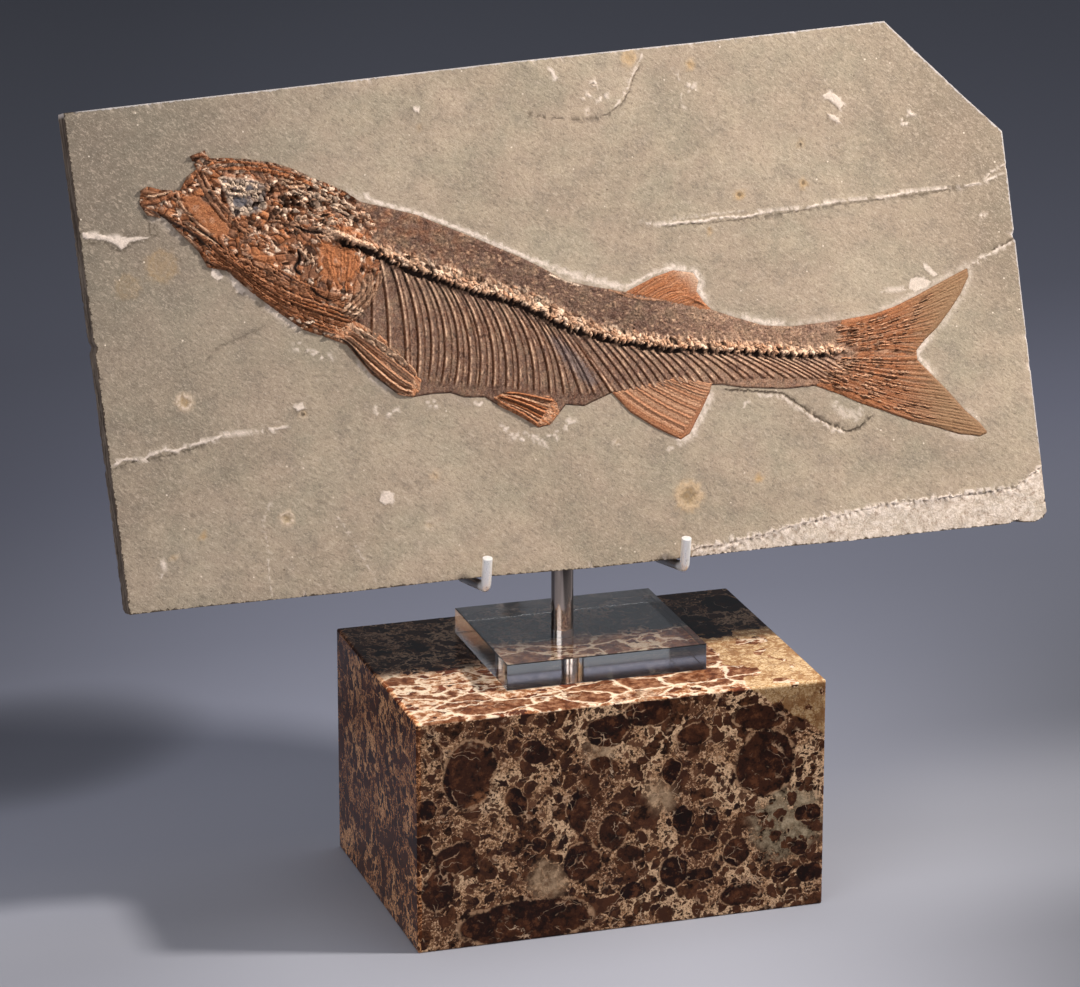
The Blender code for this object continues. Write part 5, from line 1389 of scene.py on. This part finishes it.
def lay_trunk(relief):
    """The flank: torn skin, ribs, backbone, dark belly and pale rear."""
    at_u, at_v = relief.places.T
    rim = off_rim(relief.places, TRUNK_LOOP)
    groove = np.interp(at_u, *curve(GROOVE, 100).T)
    below = at_v < groove
    relief.height += 0.30 * steps_of(rim, 0.0, 9.0) + relief.soft * 0.10
    skin = np.where(below, 0.55, 1.0)
    relief.mosaic(skin,
                  lambda at: np.where(at[:, 1] > np.interp(at[:, 0], *np.array(GROOVE).T), -0.45, -1.35),
                  0.48, 1.15, 12, 0.32, 0.85, 1.2, 0.05, shade=(0.02, 0.72), bone=(-0.55, 0.50),
                  rust=(-0.3, 0.35))
    relief.mosaic(np.where(below, 0.0, 0.75), -0.45, 0.55, 1.3, 14, 0.45, 0.7, 1.2,
                  bone=(-1.8, 1.0), shade=(0.10, 0.75))
    warm = unit(relief.soft * 0.7 + 0.25) * steps_of(at_u, -20.0, -90.0)
    relief.stains["rust"] = np.maximum(relief.stains["rust"], np.where(below, 0.0, warm * 0.6))
    lay_ribs(relief)
    lay_backbone(relief)
    relief.patch([(-19, 134), (-9, 131), (3, 118), (12, 104), (6, 100), (-4, 110),
                  (-12, 122)], 3.0, lay=0.45, grey=0.9, shade=0.35)
    behind = steps_of(at_u, 35.0, 90.0)
    relief.stains["shade"] += behind * 0.22
    relief.stains["bone"] = np.maximum(relief.stains["bone"], behind * unit(0.22 + 0.3 * relief.soft))
    relief.strand(curve([(-12.8, 166.3), (-4.9, 162.6), (1.9, 159.6), (6.3, 158)]), 0.55, 0.25, 0.3, pale=0.9,
                  shade=0.8)
    for route, half in (([(28, 154.5), (36, 149.5), (46, 147.2), (58, 146), (70, 143.5)], 0.7),
                        ([(22, 155), (30, 151), (36, 149)], 0.6)):
        relief.strand(curve(route), half, 0.3, 0.5, bone=0.7, rust=0.5)
    # painted shade along the rim, where the flank steps down into the stone, darker along the lower margin
    edge = steps_of(rim, 1.1, 0.2) * unit(0.8 + relief.rough * 0.5)
    relief.darken(slice(None), edge * np.where(below, 0.85, 0.45))


made, bone, shader = new_material("fossil_bone")
on_face = on_slab(bone, place_mm(bone))
bony, rusty, pale, grey, hollow, shade = masks(bone, STAINS)
fibre = on_face.speckle(1.5, 4.0, 0.7, (1.0, 2.2, 1.0))
speck = on_face.speckle(0.75, 3.0, 0.7)
cloud = on_face.speckle(11.0, 3.0, 0.6)
tone = cloud.tones((0.35, (0.140, 0.072, 0.050)), (0.5, (0.180, 0.102, 0.072)), (0.66, (0.208, 0.132, 0.086)))
tone = (speck.ramp(0.55, 0.68) * 0.60).over(tone, (0.44, 0.300, 0.225))
tan = fibre.tones((0.3, (0.40, 0.215, 0.125)), (0.5, (0.58, 0.355, 0.22)), (0.68, (0.76, 0.52, 0.355)))
tone = bony.over(tone, tan)
rust = fibre.tones((0.3, (0.20, 0.056, 0.020)), (0.5, (0.39, 0.138, 0.052)), (0.7, (0.57, 0.235, 0.092)))
tone = coats(tone,
    (rusty, rust),
    (grey * (0.65 + speck * 0.5), (0.125, 0.130, 0.155)),
    (pale * (0.7 + speck * 0.5), (0.84, 0.635, 0.47)))
light = bone.add("ShaderNodeCombineXYZ", {}, {axis: shade + 0.5 for axis in range(3)})
tone = bone.add("ShaderNodeMix", {"data_type": "RGBA", "blend_type": "MULTIPLY"}, {0: 1.0, 6: tone, 7: light},
                2)
olive = parts_of(on_face)[0].ramp(184.0, 222.0) * (1.0 - hollow) * fibre.ramp(0.35, 0.6, 0.35, 0.62)
tone = coats(tone,
    (speck.ramp(0.47, 0.33) * 0.65, (0.045, 0.020, 0.012)),
    (olive, (0.285, 0.175, 0.083)),
    # dark matrix and painted shade in the gaps and holes
    (hollow, rusty.over((0.014, 0.006, 0.004), (0.062, 0.018, 0.006))))
feed(bone, shader, Base_Color=tone, Roughness=fibre.ramp(0.3, 0.7, 0.78, 0.5),
     Normal=bone.bump(fibre * 0.7 + speck * 0.8, 0.7, 0.0005))
shader.inputs["Specular IOR Level"].default_value = 0.16
fossil_bone = made
bone_sheet("fish_trunk", TRUNK_LOOP, 0.50, 0.60, lay_trunk, 0.45, 1.0)

# The skull: a crushed mosaic of rust and tan bones, cracked and splintered along the head, with the two jaws,
# the struts before the eye, the blue-grey orbit, the smooth orange gill cover and the branching rays under
# the throat.
SKULL_LOOP = HEAD_OUTLINE + [(-113, 208), (-109.5, 199), (-111.5, 190), (-107, 179), (-109, 170),
                             (-113.5, 161), (-121, 153.5), (-129, 146.5)]
# How the splinters lie: (place, direction in degrees).
HEAD_FLOW = [((-225, 220), -38.0), ((-205, 200), -46.0), ((-180, 172), -42.0), ((-150, 152), -30.0),
             ((-200, 240), -12.0), ((-165, 234), -24.0), ((-130, 214), -35.0), ((-178, 215), -38.0),
             ((-165, 195), -20.0), ((-140, 198), -30.0), ((-130, 180), -75.0), ((-118, 168), 60.0),
             ((-125, 157), 25.0), ((-150, 182), 80.0)]


def head_flow(places):
    """The way the splinters lie at each place, as an angle."""
    x, y = np.zeros(len(places)), np.zeros(len(places))
    for place, angle in HEAD_FLOW:
        weight = 1.0 / (((places - place) ** 2).sum(1) + 30.0) ** 1.5
        x += weight * math.cos(2 * math.radians(angle))
        y += weight * math.sin(2 * math.radians(angle))
    return np.arctan2(y, x) / 2


def lay_skull(relief):
    """The crushed bones of the head."""
    at_u, at_v = relief.places.T
    rim = off_rim(relief.places, SKULL_LOOP)
    relief.height += 1.5 * steps_of(rim, 0.0, 20.0) + relief.soft * 0.35
    relief.mosaic(1.0, head_flow, 2.1, 4.6, 31, 1.3, 1.0, 1.5, 0.06, rust=(0.35, 1.1), shade=(0.12, 0.95),
                  bone=(-0.8, 0.85))
    splintered = steps_of(grain(relief.places, 7.0, 83.0, 2), -0.25, 0.15)
    relief.mosaic(splintered * 0.9, head_flow, 0.95, 2.3, 32, 0.95, 1.0, 1.8, 0.10, shade=(0.05, 1.15),
                  rust=(0.1, 1.1), bone=(-0.8, 1.15), pale=(-1.7, 1.0))
    roof = steps_of(at_v - np.interp(at_u, [-205.0, -165.0, -130.0, -112.0], [240.0, 231.0, 211.0, 199.0]),
                    -3.0, 3.0)
    roof = np.maximum(roof, steps_of(np.hypot((at_u + 150.0) / 22.0, (at_v - 214.0) / 10.0), 1.1, 0.7))
    relief.mosaic(roof * 0.9, head_flow, 1.05, 2.0, 33, 1.2, 1.0, 2.2, 0.17, bone=(-0.2, 1.15),
                  shade=(0.05, 1.2), rust=(-0.1, 1.0), pale=(-1.0, 1.0))
    creamy = steps_of(np.hypot((at_u + 132.0) / 20.0, (at_v - 204.0) / 11.0) + 0.2 * relief.soft, 1.1, 0.6)
    relief.mosaic(creamy * 0.9, head_flow, 0.9, 2.1, 35, 1.1, 1.0, 1.8, 0.10, bone=(0.1, 1.2),
                  shade=(0.25, 1.25), rust=(-0.3, 0.8), pale=(-0.9, 1.0))

    # Smooth plates: the upper jaw's side, the cheek and the gill cover.
    relief.patch([(-219.5, 226), (-208.6, 225.3), (-202, 218), (-194.5, 209), (-193, 202), (-201.5, 200.4),
                  (-209, 207.5), (-216.1, 217)], 1.6, 0.35, 0.85, 0.85, rust=0.95, shade=0.50)
    relief.patch([(-187, 193), (-178, 193.5), (-169, 188), (-170.5, 183), (-179, 186)], 1.6, 0.25, 0.5, 0.8,
                 rust=0.95, shade=0.72)
    relief.patch([(-141.5, 195.5), (-131, 191), (-122.5, 188), (-119.8, 181.6), (-124.5, 172.9),
                  (-135, 169.6), (-144, 174), (-146, 184)], 1.8, 0.2, 0.55, 0.8, rust=1.0, shade=0.72)
    for route in fan([(-140, 193), (-141.5, 183), (-138, 172)], [(-123, 188), (-124, 181), (-128, 172)],
                     9, 2, 0.9):
        relief.strand(route, 0.8, 0.30, 0.45, 0.9, lay=0.6, rust=1.0, bone=0.2, shade=0.85)
    relief.patch([(-170, 180.5), (-163, 179.5), (-159, 174.5), (-164, 173), (-171, 176.5)], 1.8, 0.1, 0.3,
                 0.6, grey=0.85, shade=0.5)
    relief.patch([(-209.6, 234.8), (-205.6, 232.2), (-199.9, 219.2), (-204.3, 221.7)], 1.0, -1.1, 0.9, 0.9,
                 bone=0.32, shade=0.33)
    relief.patch([(-196.5, 233), (-182, 232), (-171.4, 228.4), (-172.7, 214.8), (-181, 211), (-191.3, 212.9)],
                 2.0, -0.2, 0.45, 0.75, pale=0.45, grey=0.45, bone=0.4, shade=0.35)
    orbit = [(-196.5, 233), (-182, 232), (-170.4, 228.4), (-171.7, 214.8), (-190.3, 211.9)]
    near, depth = depth_in(relief.places, orbit, 40.0)
    within = np.zeros(len(relief.places))
    within[near] = steps_of(depth, -1.5, 1.5)
    relief.mosaic(within, head_flow, 1.1, 2.2, 34, 0.9, 1.0, 1.9, 0.14, pale=(-0.2, 1.1), shade=(0.1, 1.0),
                  grey=(-0.6, 0.9), bone=(-0.4, 0.8))
    for middle, radius in (((-186, 219.8), 4.6), ((-180, 226.5), 2.8)):
        loop = [(middle[0] + radius * math.cos(a), middle[1] + radius * 0.8 * math.sin(a))
                for a in np.arange(0, 6.2, 0.5)]
        relief.patch(loop, 1.2, -0.4, 0.6, 0.9, grey=1.0, shade=0.33)
    relief.patch([(-136, 203.5), (-127, 202.5), (-117.5, 196.5), (-119, 193.5), (-128, 196)], 1.4, 0.3, 0.5,
                 0.8, rust=1.0, shade=0.86)
    relief.patch([(-124, 176), (-116, 172), (-112, 163), (-122, 157), (-127, 163)], 2.0, 0.0, 0.2, 0.5,
                 bone=0.65, shade=0.5)

    # Struts, jaws and the rays under the throat.
    for route, half, rise, tones in (
            ([(-209.5, 239), (-207, 233), (-202, 221.6), (-193.9, 208.7)], 1.1, 0.9,
             {"bone": 0.45, "rust": 0.5}),
            ([(-205.5, 238), (-203, 231), (-198, 221.6), (-190.3, 211.9)], 0.9, 0.8,
             {"bone": 0.6, "rust": 0.4}),
            ([(-218.4, 228.6), (-212.4, 233.5), (-208.7, 239.8)], 1.5, 0.9, {"rust": 0.8, "bone": 0.3}),
            ([(-220.5, 227), (-218, 219), (-211, 210), (-203, 202.5)], 0.8, 0.5, {"bone": 0.8, "rust": 0.3}),
            ([(-212, 246), (-206, 246.5), (-199, 243)], 1.3, 0.8, {"rust": 0.6, "shade": 0.35}),
            ([(-211, 244), (-208, 239.5)], 1.2, 0.7, {"rust": 0.6, "shade": 0.3}),
            ([(-241, 223), (-231.6, 223.5), (-220.9, 227)], 1.3, 0.8, {"rust": 0.7, "shade": 0.45}),
            ([(-240.5, 229.5), (-236, 228.5), (-229, 226.5)], 1.1, 0.7,
             {"rust": 0.6, "bone": 0.4, "shade": 0.3}),
            ([(-238, 226.5), (-232, 226.5), (-224, 228)], 0.8, 0.6, {"bone": 0.8, "shade": 0.6}),
            ([(-240.2, 221.6), (-230.1, 214.6), (-215.9, 206.4), (-201.9, 196.9), (-193.4, 188.4),
              (-185, 180)],
             1.2, 1.0, {"rust": 0.7, "bone": 0.25, "shade": 0.42}),
            ([(-217.7, 210.5), (-207.4, 203), (-197.4, 194.7), (-191, 188.5)], 0.75, 0.9,
             {"bone": 1.0, "shade": 0.8}),
            ([(-239.2, 218.6), (-227, 210.2), (-216.3, 201.5), (-210.3, 193.8)], 0.9, 0.7,
             {"bone": 0.7, "rust": 0.3}),
            ([(-237, 219.5), (-225, 211.5), (-213, 203.5), (-205.5, 195.5)], 0.8, -0.8, {"hollow": 0.75}),
            ([(-212, 207.6), (-203, 200.6), (-195, 192.6)], 0.6, -0.7, {"hollow": 0.9}),
            ([(-197, 238.5), (-180, 237.5), (-167.4, 235), (-150, 228.8), (-131.8, 219)], 1.3, 0.6,
             {"rust": 0.85, "shade": 0.6}),
            ([(-199, 242), (-187, 241.6), (-168, 238), (-152, 232)], 1.0, 0.5, {"rust": 0.8, "shade": 0.45})):
        relief.strand(curve(route), half, rise, 0.75, **tones)
    throat = fan([(-211, 192.5), (-203.5, 187), (-193, 181.8), (-181, 169.3), (-166.4, 157.8),
                  (-148.7, 147.4), (-133, 141.4)],
                 [(-199.4, 198.5), (-193, 191), (-184.9, 182), (-170.8, 171.8), (-156.5, 163.9),
                  (-137.3, 156.7), (-126, 152)], 9, 5, 0.35)
    for index, route in enumerate(throat):
        relief.strand(route, 0.85, 0.85, 0.95, 0.5, 0.06, 0.9, rust=0.75 + 0.2 * (index % 2),
                      bone=0.35 * (index % 3), shade=0.42 + 0.16 * (index % 3))
    for route in fan([(-168, 182), (-155, 173), (-140, 165.5), (-128, 163)],
                     [(-190, 186), (-172, 175), (-155, 166), (-132, 158)], 5, 6, 0.3):
        relief.strand(route, 0.8, 0.6, 0.8, 0.6, 0.1, 0.8, rust=0.8, bone=0.3, shade=0.5)
    for route in fan([(-108.7, 176), (-111.5, 166), (-119.6, 156.7), (-129.1, 149.5)],
                     [(-120, 172), (-120, 166), (-126, 160), (-135, 154)], 5, 7, 0.3):
        relief.strand(route, 1.0, 0.7, 0.7, 0.4, 0.1, 0.85, bone=0.75, rust=0.2, shade=0.48)
    scatter = random.Random(19)
    for corner, across, count, tones in (((-144, 224), (18, -13), 24, {"pale": 0.75, "bone": 0.3}),
                                         ((-196, 230), (20, -6), 16, {"pale": 0.8, "bone": 0.2}),
                                         ((-160, 226), (22, -10), 14, {"pale": 0.6, "bone": 0.5}),
                                         ((-200, 196), (34, -22), 18, {"rust": 0.6, "bone": 0.6}),
                                         ((-165, 232), (30, -15), 14, {"bone": 0.9}),
                                         ((-154, 190), (10, -10), 12, {"bone": 0.85, "pale": 0.2}),
                                         ((-131, 196.5), (14, -6.5), 8, {"bone": 0.9, "pale": 0.3}),
                                         ((-168, 210), (26, -12), 16, {"bone": 0.7, "rust": 0.3}),
                                         ((-190, 208), (20, -14), 10, {"bone": 0.5, "rust": 0.6}),
                                         ((-134, 160), (12, -10), 12, {"bone": 0.9, "pale": 0.3}),
                                         ((-164.2, 154.5), (15, -8), 5, {"pale": 0.9})):
        for _ in range(count):
            place = np.array(corner) + np.array(across) * scatter.uniform(0.0, 1.0)
            place += (0.0, scatter.uniform(-4.0, 4.0))
            turn = head_flow(place[None])[0] + scatter.uniform(-0.7, 0.7)
            reach = np.array((math.cos(turn), math.sin(turn))) * scatter.uniform(1.2, 2.6)
            relief.strand([place - reach, place + reach], scatter.uniform(0.6, 1.3),
                          scatter.uniform(0.6, 1.2), 0.95, 0.8, 0.3, 0.95, shade=scatter.uniform(0.5, 1.0),
                          **tones)
    for centre, radius, depth in (((-168.4, 222.6), 2.6, 1.3), ((-161, 218), 3.4, 1.5),
                                  ((-153.8, 219.3), 3.0, 1.5), ((-146.8, 213.5), 3.0, 1.4),
                                  ((-166, 212.8), 2.2, 1.0), ((-158, 211), 1.8, 1.0),
                                  ((-208.5, 187.5), 1.5, 0.8), ((-140.5, 205.5), 1.8, 1.0),
                                  ((-188, 203), 1.4, 0.9), ((-176, 204), 1.6, 0.9), ((-132, 165.5), 1.6, 0.9),
                                  ((-160, 190), 1.6, 0.9)):
        relief.pit(centre, radius, depth)
    relief.strand(curve([(-155.7, 191), (-155, 185.4), (-158.3, 181.2), (-155.1, 176.6)]), 1.0, -1.1, 0.3,
                  hollow=0.97)
    relief.strand(curve([(-157, 204), (-148, 200), (-141, 199.5)]), 0.8, -0.8, 0.3, hollow=0.9)
    relief.strand(curve([(-150, 170), (-146, 165), (-139, 161)]), 0.6, -0.8, 0.3, hollow=0.9)
    lay_backbone(relief)
    relief.strand(curve([(-138, 200), (-130, 197.2), (-119, 191.5), (-110, 188)]), 1.7, 0.9, 0.4, 0.6,
                  bone=1.0, pale=0.25, shade=0.72)
    # painted shade along the rim, where the skull steps down into the stone
    ragged = steps_of(rim + relief.rough * 0.6, 1.3, 0.2)
    relief.darken(slice(None), ragged * 0.5)


bone_sheet("fish_skull", SKULL_LOOP, 0.42, 0.75, lay_skull, 0.7, 1.3)


# The fins: each is a fan of fine rays, orange to pinkish, with dark gaps between the rays, partly painted
# shade.
def lay_rays(relief, routes, half, rise, seed, gap, tones, light=0.0, ends=0.05):
    """Lays the rays of a fin, each with its own width, height and shade. Their tones come round in turn."""
    scatter = random.Random(seed)
    for index, route in enumerate(routes):
        relief.strand(route, half * scatter.uniform(0.85, 1.15), rise * scatter.uniform(0.8, 1.1), gap, 0.35,
                      ends, 0.9, shade=scatter.uniform(0.38, 0.72) + light, **tones[index % len(tones)])


def shaded_rim(relief, loop, width, dark=0.45):
    """Darkens a sheet's rim, unevenly: painted shade where the sheet steps down into the stone."""
    relief.darken(slice(None), steps_of(off_rim(relief.places, loop) + relief.rough * 0.4, width, 0.1) * dark)


PECTORAL_LOOP = [(-142.3, 141.2), (-131.9, 136.5), (-119.6, 119.3), (-104.9, 106.5), (-97, 104.5), (-92, 108),
                 (-91, 114), (-94.5, 120), (-104.3, 132.6), (-115, 143), (-126, 149), (-137, 149)]


def lay_pectoral(relief):
    """A thick pinkish fan, splintered at its root."""
    relief.mosaic(1.0, -0.85, 0.7, 3.0, 41, 0.5, 0.7, 0.7,
                  bone=(0.5, 1.1), rust=(0.1, 0.8), shade=(0.45, 1.1))
    first = [(-135, 139), (-130.5, 134.5), (-118.5, 120.5), (-105.5, 108.5), (-97.5, 105.8)]
    last = [(-128, 146), (-121, 141.5), (-110, 133.5), (-100, 124.5), (-94, 117)]
    lay_rays(relief, fan(first, last, 12, 3, 1.3), 0.75, 1.0, 4, 0.8, light=0.35,
             tones=({"bone": 0.55, "rust": 0.45}, {"rust": 0.8, "bone": 0.2}, {"bone": 0.85, "rust": 0.2}))
    scatter = random.Random(23)
    for _ in range(34):
        place = np.array((-127, 146)) + np.array((27, -22)) * scatter.random()
        place += (0.0, scatter.uniform(-2.5, 1.0))
        turn = scatter.uniform(-1.1, -0.4)
        reach = np.array((math.cos(turn), math.sin(turn))) * scatter.uniform(1.5, 3.4)
        relief.strand([place - reach, place + reach], scatter.uniform(0.8, 1.3), 0.8, 0.8, 0.5, 0.3, bone=0.9,
                      pale=0.15, shade=scatter.uniform(0.45, 0.85))
    relief.strand(curve([(-140, 141.5), (-131, 136.8), (-119, 119.8), (-106, 107.5)]), 0.6, -0.5, 0.2,
                  hollow=0.9)
    shaded_rim(relief, PECTORAL_LOOP, 0.8, 0.5)


bone_sheet("fish_pectoral_fin", PECTORAL_LOOP, 0.42, 1.0, lay_pectoral, 0.7, 1.0)

PELVIC_LOOP = [(-51.5, 101), (-47.9, 95.4), (-36.2, 88.6), (-25.9, 81.4), (-18.6, 82.5), (-12.7, 88.8),
               (-14, 95), (-18, 99.5), (-29, 100.5), (-41, 103)]


def lay_pelvic(relief):
    """A short fan of coarse rays."""
    relief.mosaic(1.0, -0.4, 0.6, 2.2, 42, 0.45, 0.8, 0.7,
                  bone=(0.4, 1.1), rust=(0.2, 1.0), shade=(0.5, 1.1))
    first = [(-50, 100), (-44.5, 95.5), (-36, 90.3), (-26.5, 83)]
    last = [(-46, 102.5), (-37, 101.5), (-27, 98.5), (-16.5, 95)]
    lay_rays(relief, fan(first, last, 10, 5, 1.3), 0.7, 0.9, 6, 0.8, light=0.32,
             tones=({"rust": 0.85, "bone": 0.3}, {"bone": 0.8, "rust": 0.3}, {"rust": 1.0}))
    shaded_rim(relief, PELVIC_LOOP, 0.8)


bone_sheet("fish_pelvic_fin", PELVIC_LOOP, 0.42, 0.85, lay_pelvic, 0.6, 0.9)

DORSAL_LOOP = DORSAL_LINE + [(78, 137), (60, 141), (42, 146), (33, 150)]


def lay_dorsal(relief):
    """A low orange fan, worn pale at its top."""
    relief.stains["rust"] += 0.75
    relief.mosaic(0.7, 0.35, 0.5, 2.6, 43, 0.2, 0.4, 0.5,
                  rust=(0.5, 1.0), shade=(0.55, 1.0), bone=(0.0, 0.5))
    lay_rays(relief, fan([(36, 151.5), (44, 156), (51, 159.5)], [(66, 142.5), (74, 144), (79, 140.5)],
                         15, 7, 0.25), 0.55, 0.35, 8, 0.45, light=0.22,
             tones=({"rust": 0.9}, {"rust": 0.7, "bone": 0.4}, {"rust": 0.9, "bone": 0.2}))
    gone = steps_of(relief.places[:, 0] + relief.places[:, 1] + relief.soft * 3.0, 218.0, 232.0)
    relief.paint(slice(None), gone * 0.75, bone=0.85, pale=0.35, shade=0.55)
    base = steps_of(relief.places[:, 1] - np.interp(relief.places[:, 0], [33.0, 80.0], [150.5, 138.5]), 4.0,
                    0.0)
    relief.paint(slice(None), base * 0.3, rust=0.6, shade=0.3)
    shaded_rim(relief, DORSAL_LOOP, 0.6, 0.3)


bone_sheet("fish_dorsal_fin", DORSAL_LOOP, 0.42, 0.42, lay_dorsal, 0.4, 0.8)

ANAL_LOOP = ANAL_LINE + [(16, 99), (26, 103), (50, 104), (72, 101.5), (80, 98)]


def lay_anal(relief):
    """A tan fan with an orange front ray."""
    relief.stains["rust"] += 0.55
    first = [(17.5, 97), (25, 89.5), (38, 79.5), (56.5, 68.3)]
    last = [(58, 103), (66, 100), (73, 97.5), (78.5, 96)]
    lay_rays(relief, fan(first, last, 19, 9, 0.14), 1.15, 0.70, 10, 0.55, ends=0.03,
             tones=({"rust": 0.5, "bone": 0.75}, {"rust": 0.6, "bone": 0.5}, {"rust": 0.35, "bone": 0.9}))
    relief.stains["shade"] += 0.22
    front = steps_of(np.abs(beside(relief.places, curve(first))[1]), 6.0, 0.5)
    relief.paint(slice(None), front * 0.45, rust=0.9, shade=0.55)
    shaded_rim(relief, ANAL_LOOP, 0.7, 0.4)


bone_sheet("fish_anal_fin", ANAL_LOOP, 0.42, 0.5, lay_anal, 0.5, 0.9)

TAIL_LOOP = TAIL_LINE + [(142, 96), (150, 104), (154, 112), (152, 122)]


def lay_tail(relief):
    """Two fans, orange at the middle, olive in the outer lobes, broken at the root."""
    at_u, at_v = relief.places.T
    relief.stains["rust"] += 0.65
    relief.stains["bone"] += 0.15
    relief.mosaic(0.8, lambda at: np.arctan2(at[:, 1] - 107.0, at[:, 0] - 128.0) * 1.05,
                  0.45, 3.6, 44, 0.28, 0.6, 0.4, rust=(0.10, 1.0), shade=(0.05, 0.95), bone=(-0.3, 0.8))
    upper = fan([(156, 124.5), (178, 126.8), (206, 135.5), (237.5, 148.5)],
                [(158, 108.5), (172, 108.5), (188, 107.5), (202.5, 104)], 22, 11, 0.3)
    lower = fan([(144, 92), (168, 80), (197, 67.2), (240.5, 54.6)],
                [(158, 105), (172, 104), (188, 102.5), (202.5, 102)], 24, 12, 0.3)
    lay_rays(relief, upper + lower, 0.6, 0.36, 13, 0.5, ends=0.04,
             tones=({"rust": 0.85, "bone": 0.2}, {"rust": 0.6, "bone": 0.5}, {"rust": 0.9, "bone": 0.1}))
    lobes = steps_of(np.hypot(at_u - 155.0, at_v - 108.0) + 3.0 * relief.soft, 38.0, 78.0)
    relief.paint(slice(None), lobes * 0.80, rust=0.22, bone=0.45, shade=0.30)
    relief.stains["hollow"] *= 1.0 - lobes * 0.6
    edges = np.minimum(np.abs(beside(relief.places, upper[0])[1]), np.abs(beside(relief.places, lower[0])[1]))
    relief.paint(slice(None), steps_of(edges, 6.0, 1.0) * 0.5 * (1.0 - 0.7 * lobes), rust=1.0, shade=0.55)
    root = steps_of(np.hypot(at_u - 150.0, (at_v - 106.0) * 1.3) + 2.5 * relief.soft, 21.0, 12.0)
    relief.paint(slice(None), root * 0.75, bone=0.15, shade=0.42)
    scatter = random.Random(29)
    for route in upper[2:] + lower[1:]:
        for _ in range(7):
            index = int(scatter.random() ** 1.4 * 0.75 * (len(route) - 1))
            a, b = route[index], route[min(index + 2, len(route) - 1)]
            a = a + (a - b) * scatter.uniform(0.0, 1.6) * (index < 2)
            relief.strand([a, a + (b - a) * scatter.uniform(0.4, 1.2)], 0.6, 0.6, 1.0, 0.4, 0.3,
                          bone=scatter.uniform(0.4, 1.0), rust=scatter.uniform(0.2, 0.7),
                          shade=scatter.uniform(0.35, 1.0))
    shaded_rim(relief, TAIL_LOOP, 0.6, 0.3)


bone_sheet("fish_tail_fin", TAIL_LOOP, 0.45, 0.5, lay_tail, 0.4, 0.8)

bpy.context.view_layer.update()
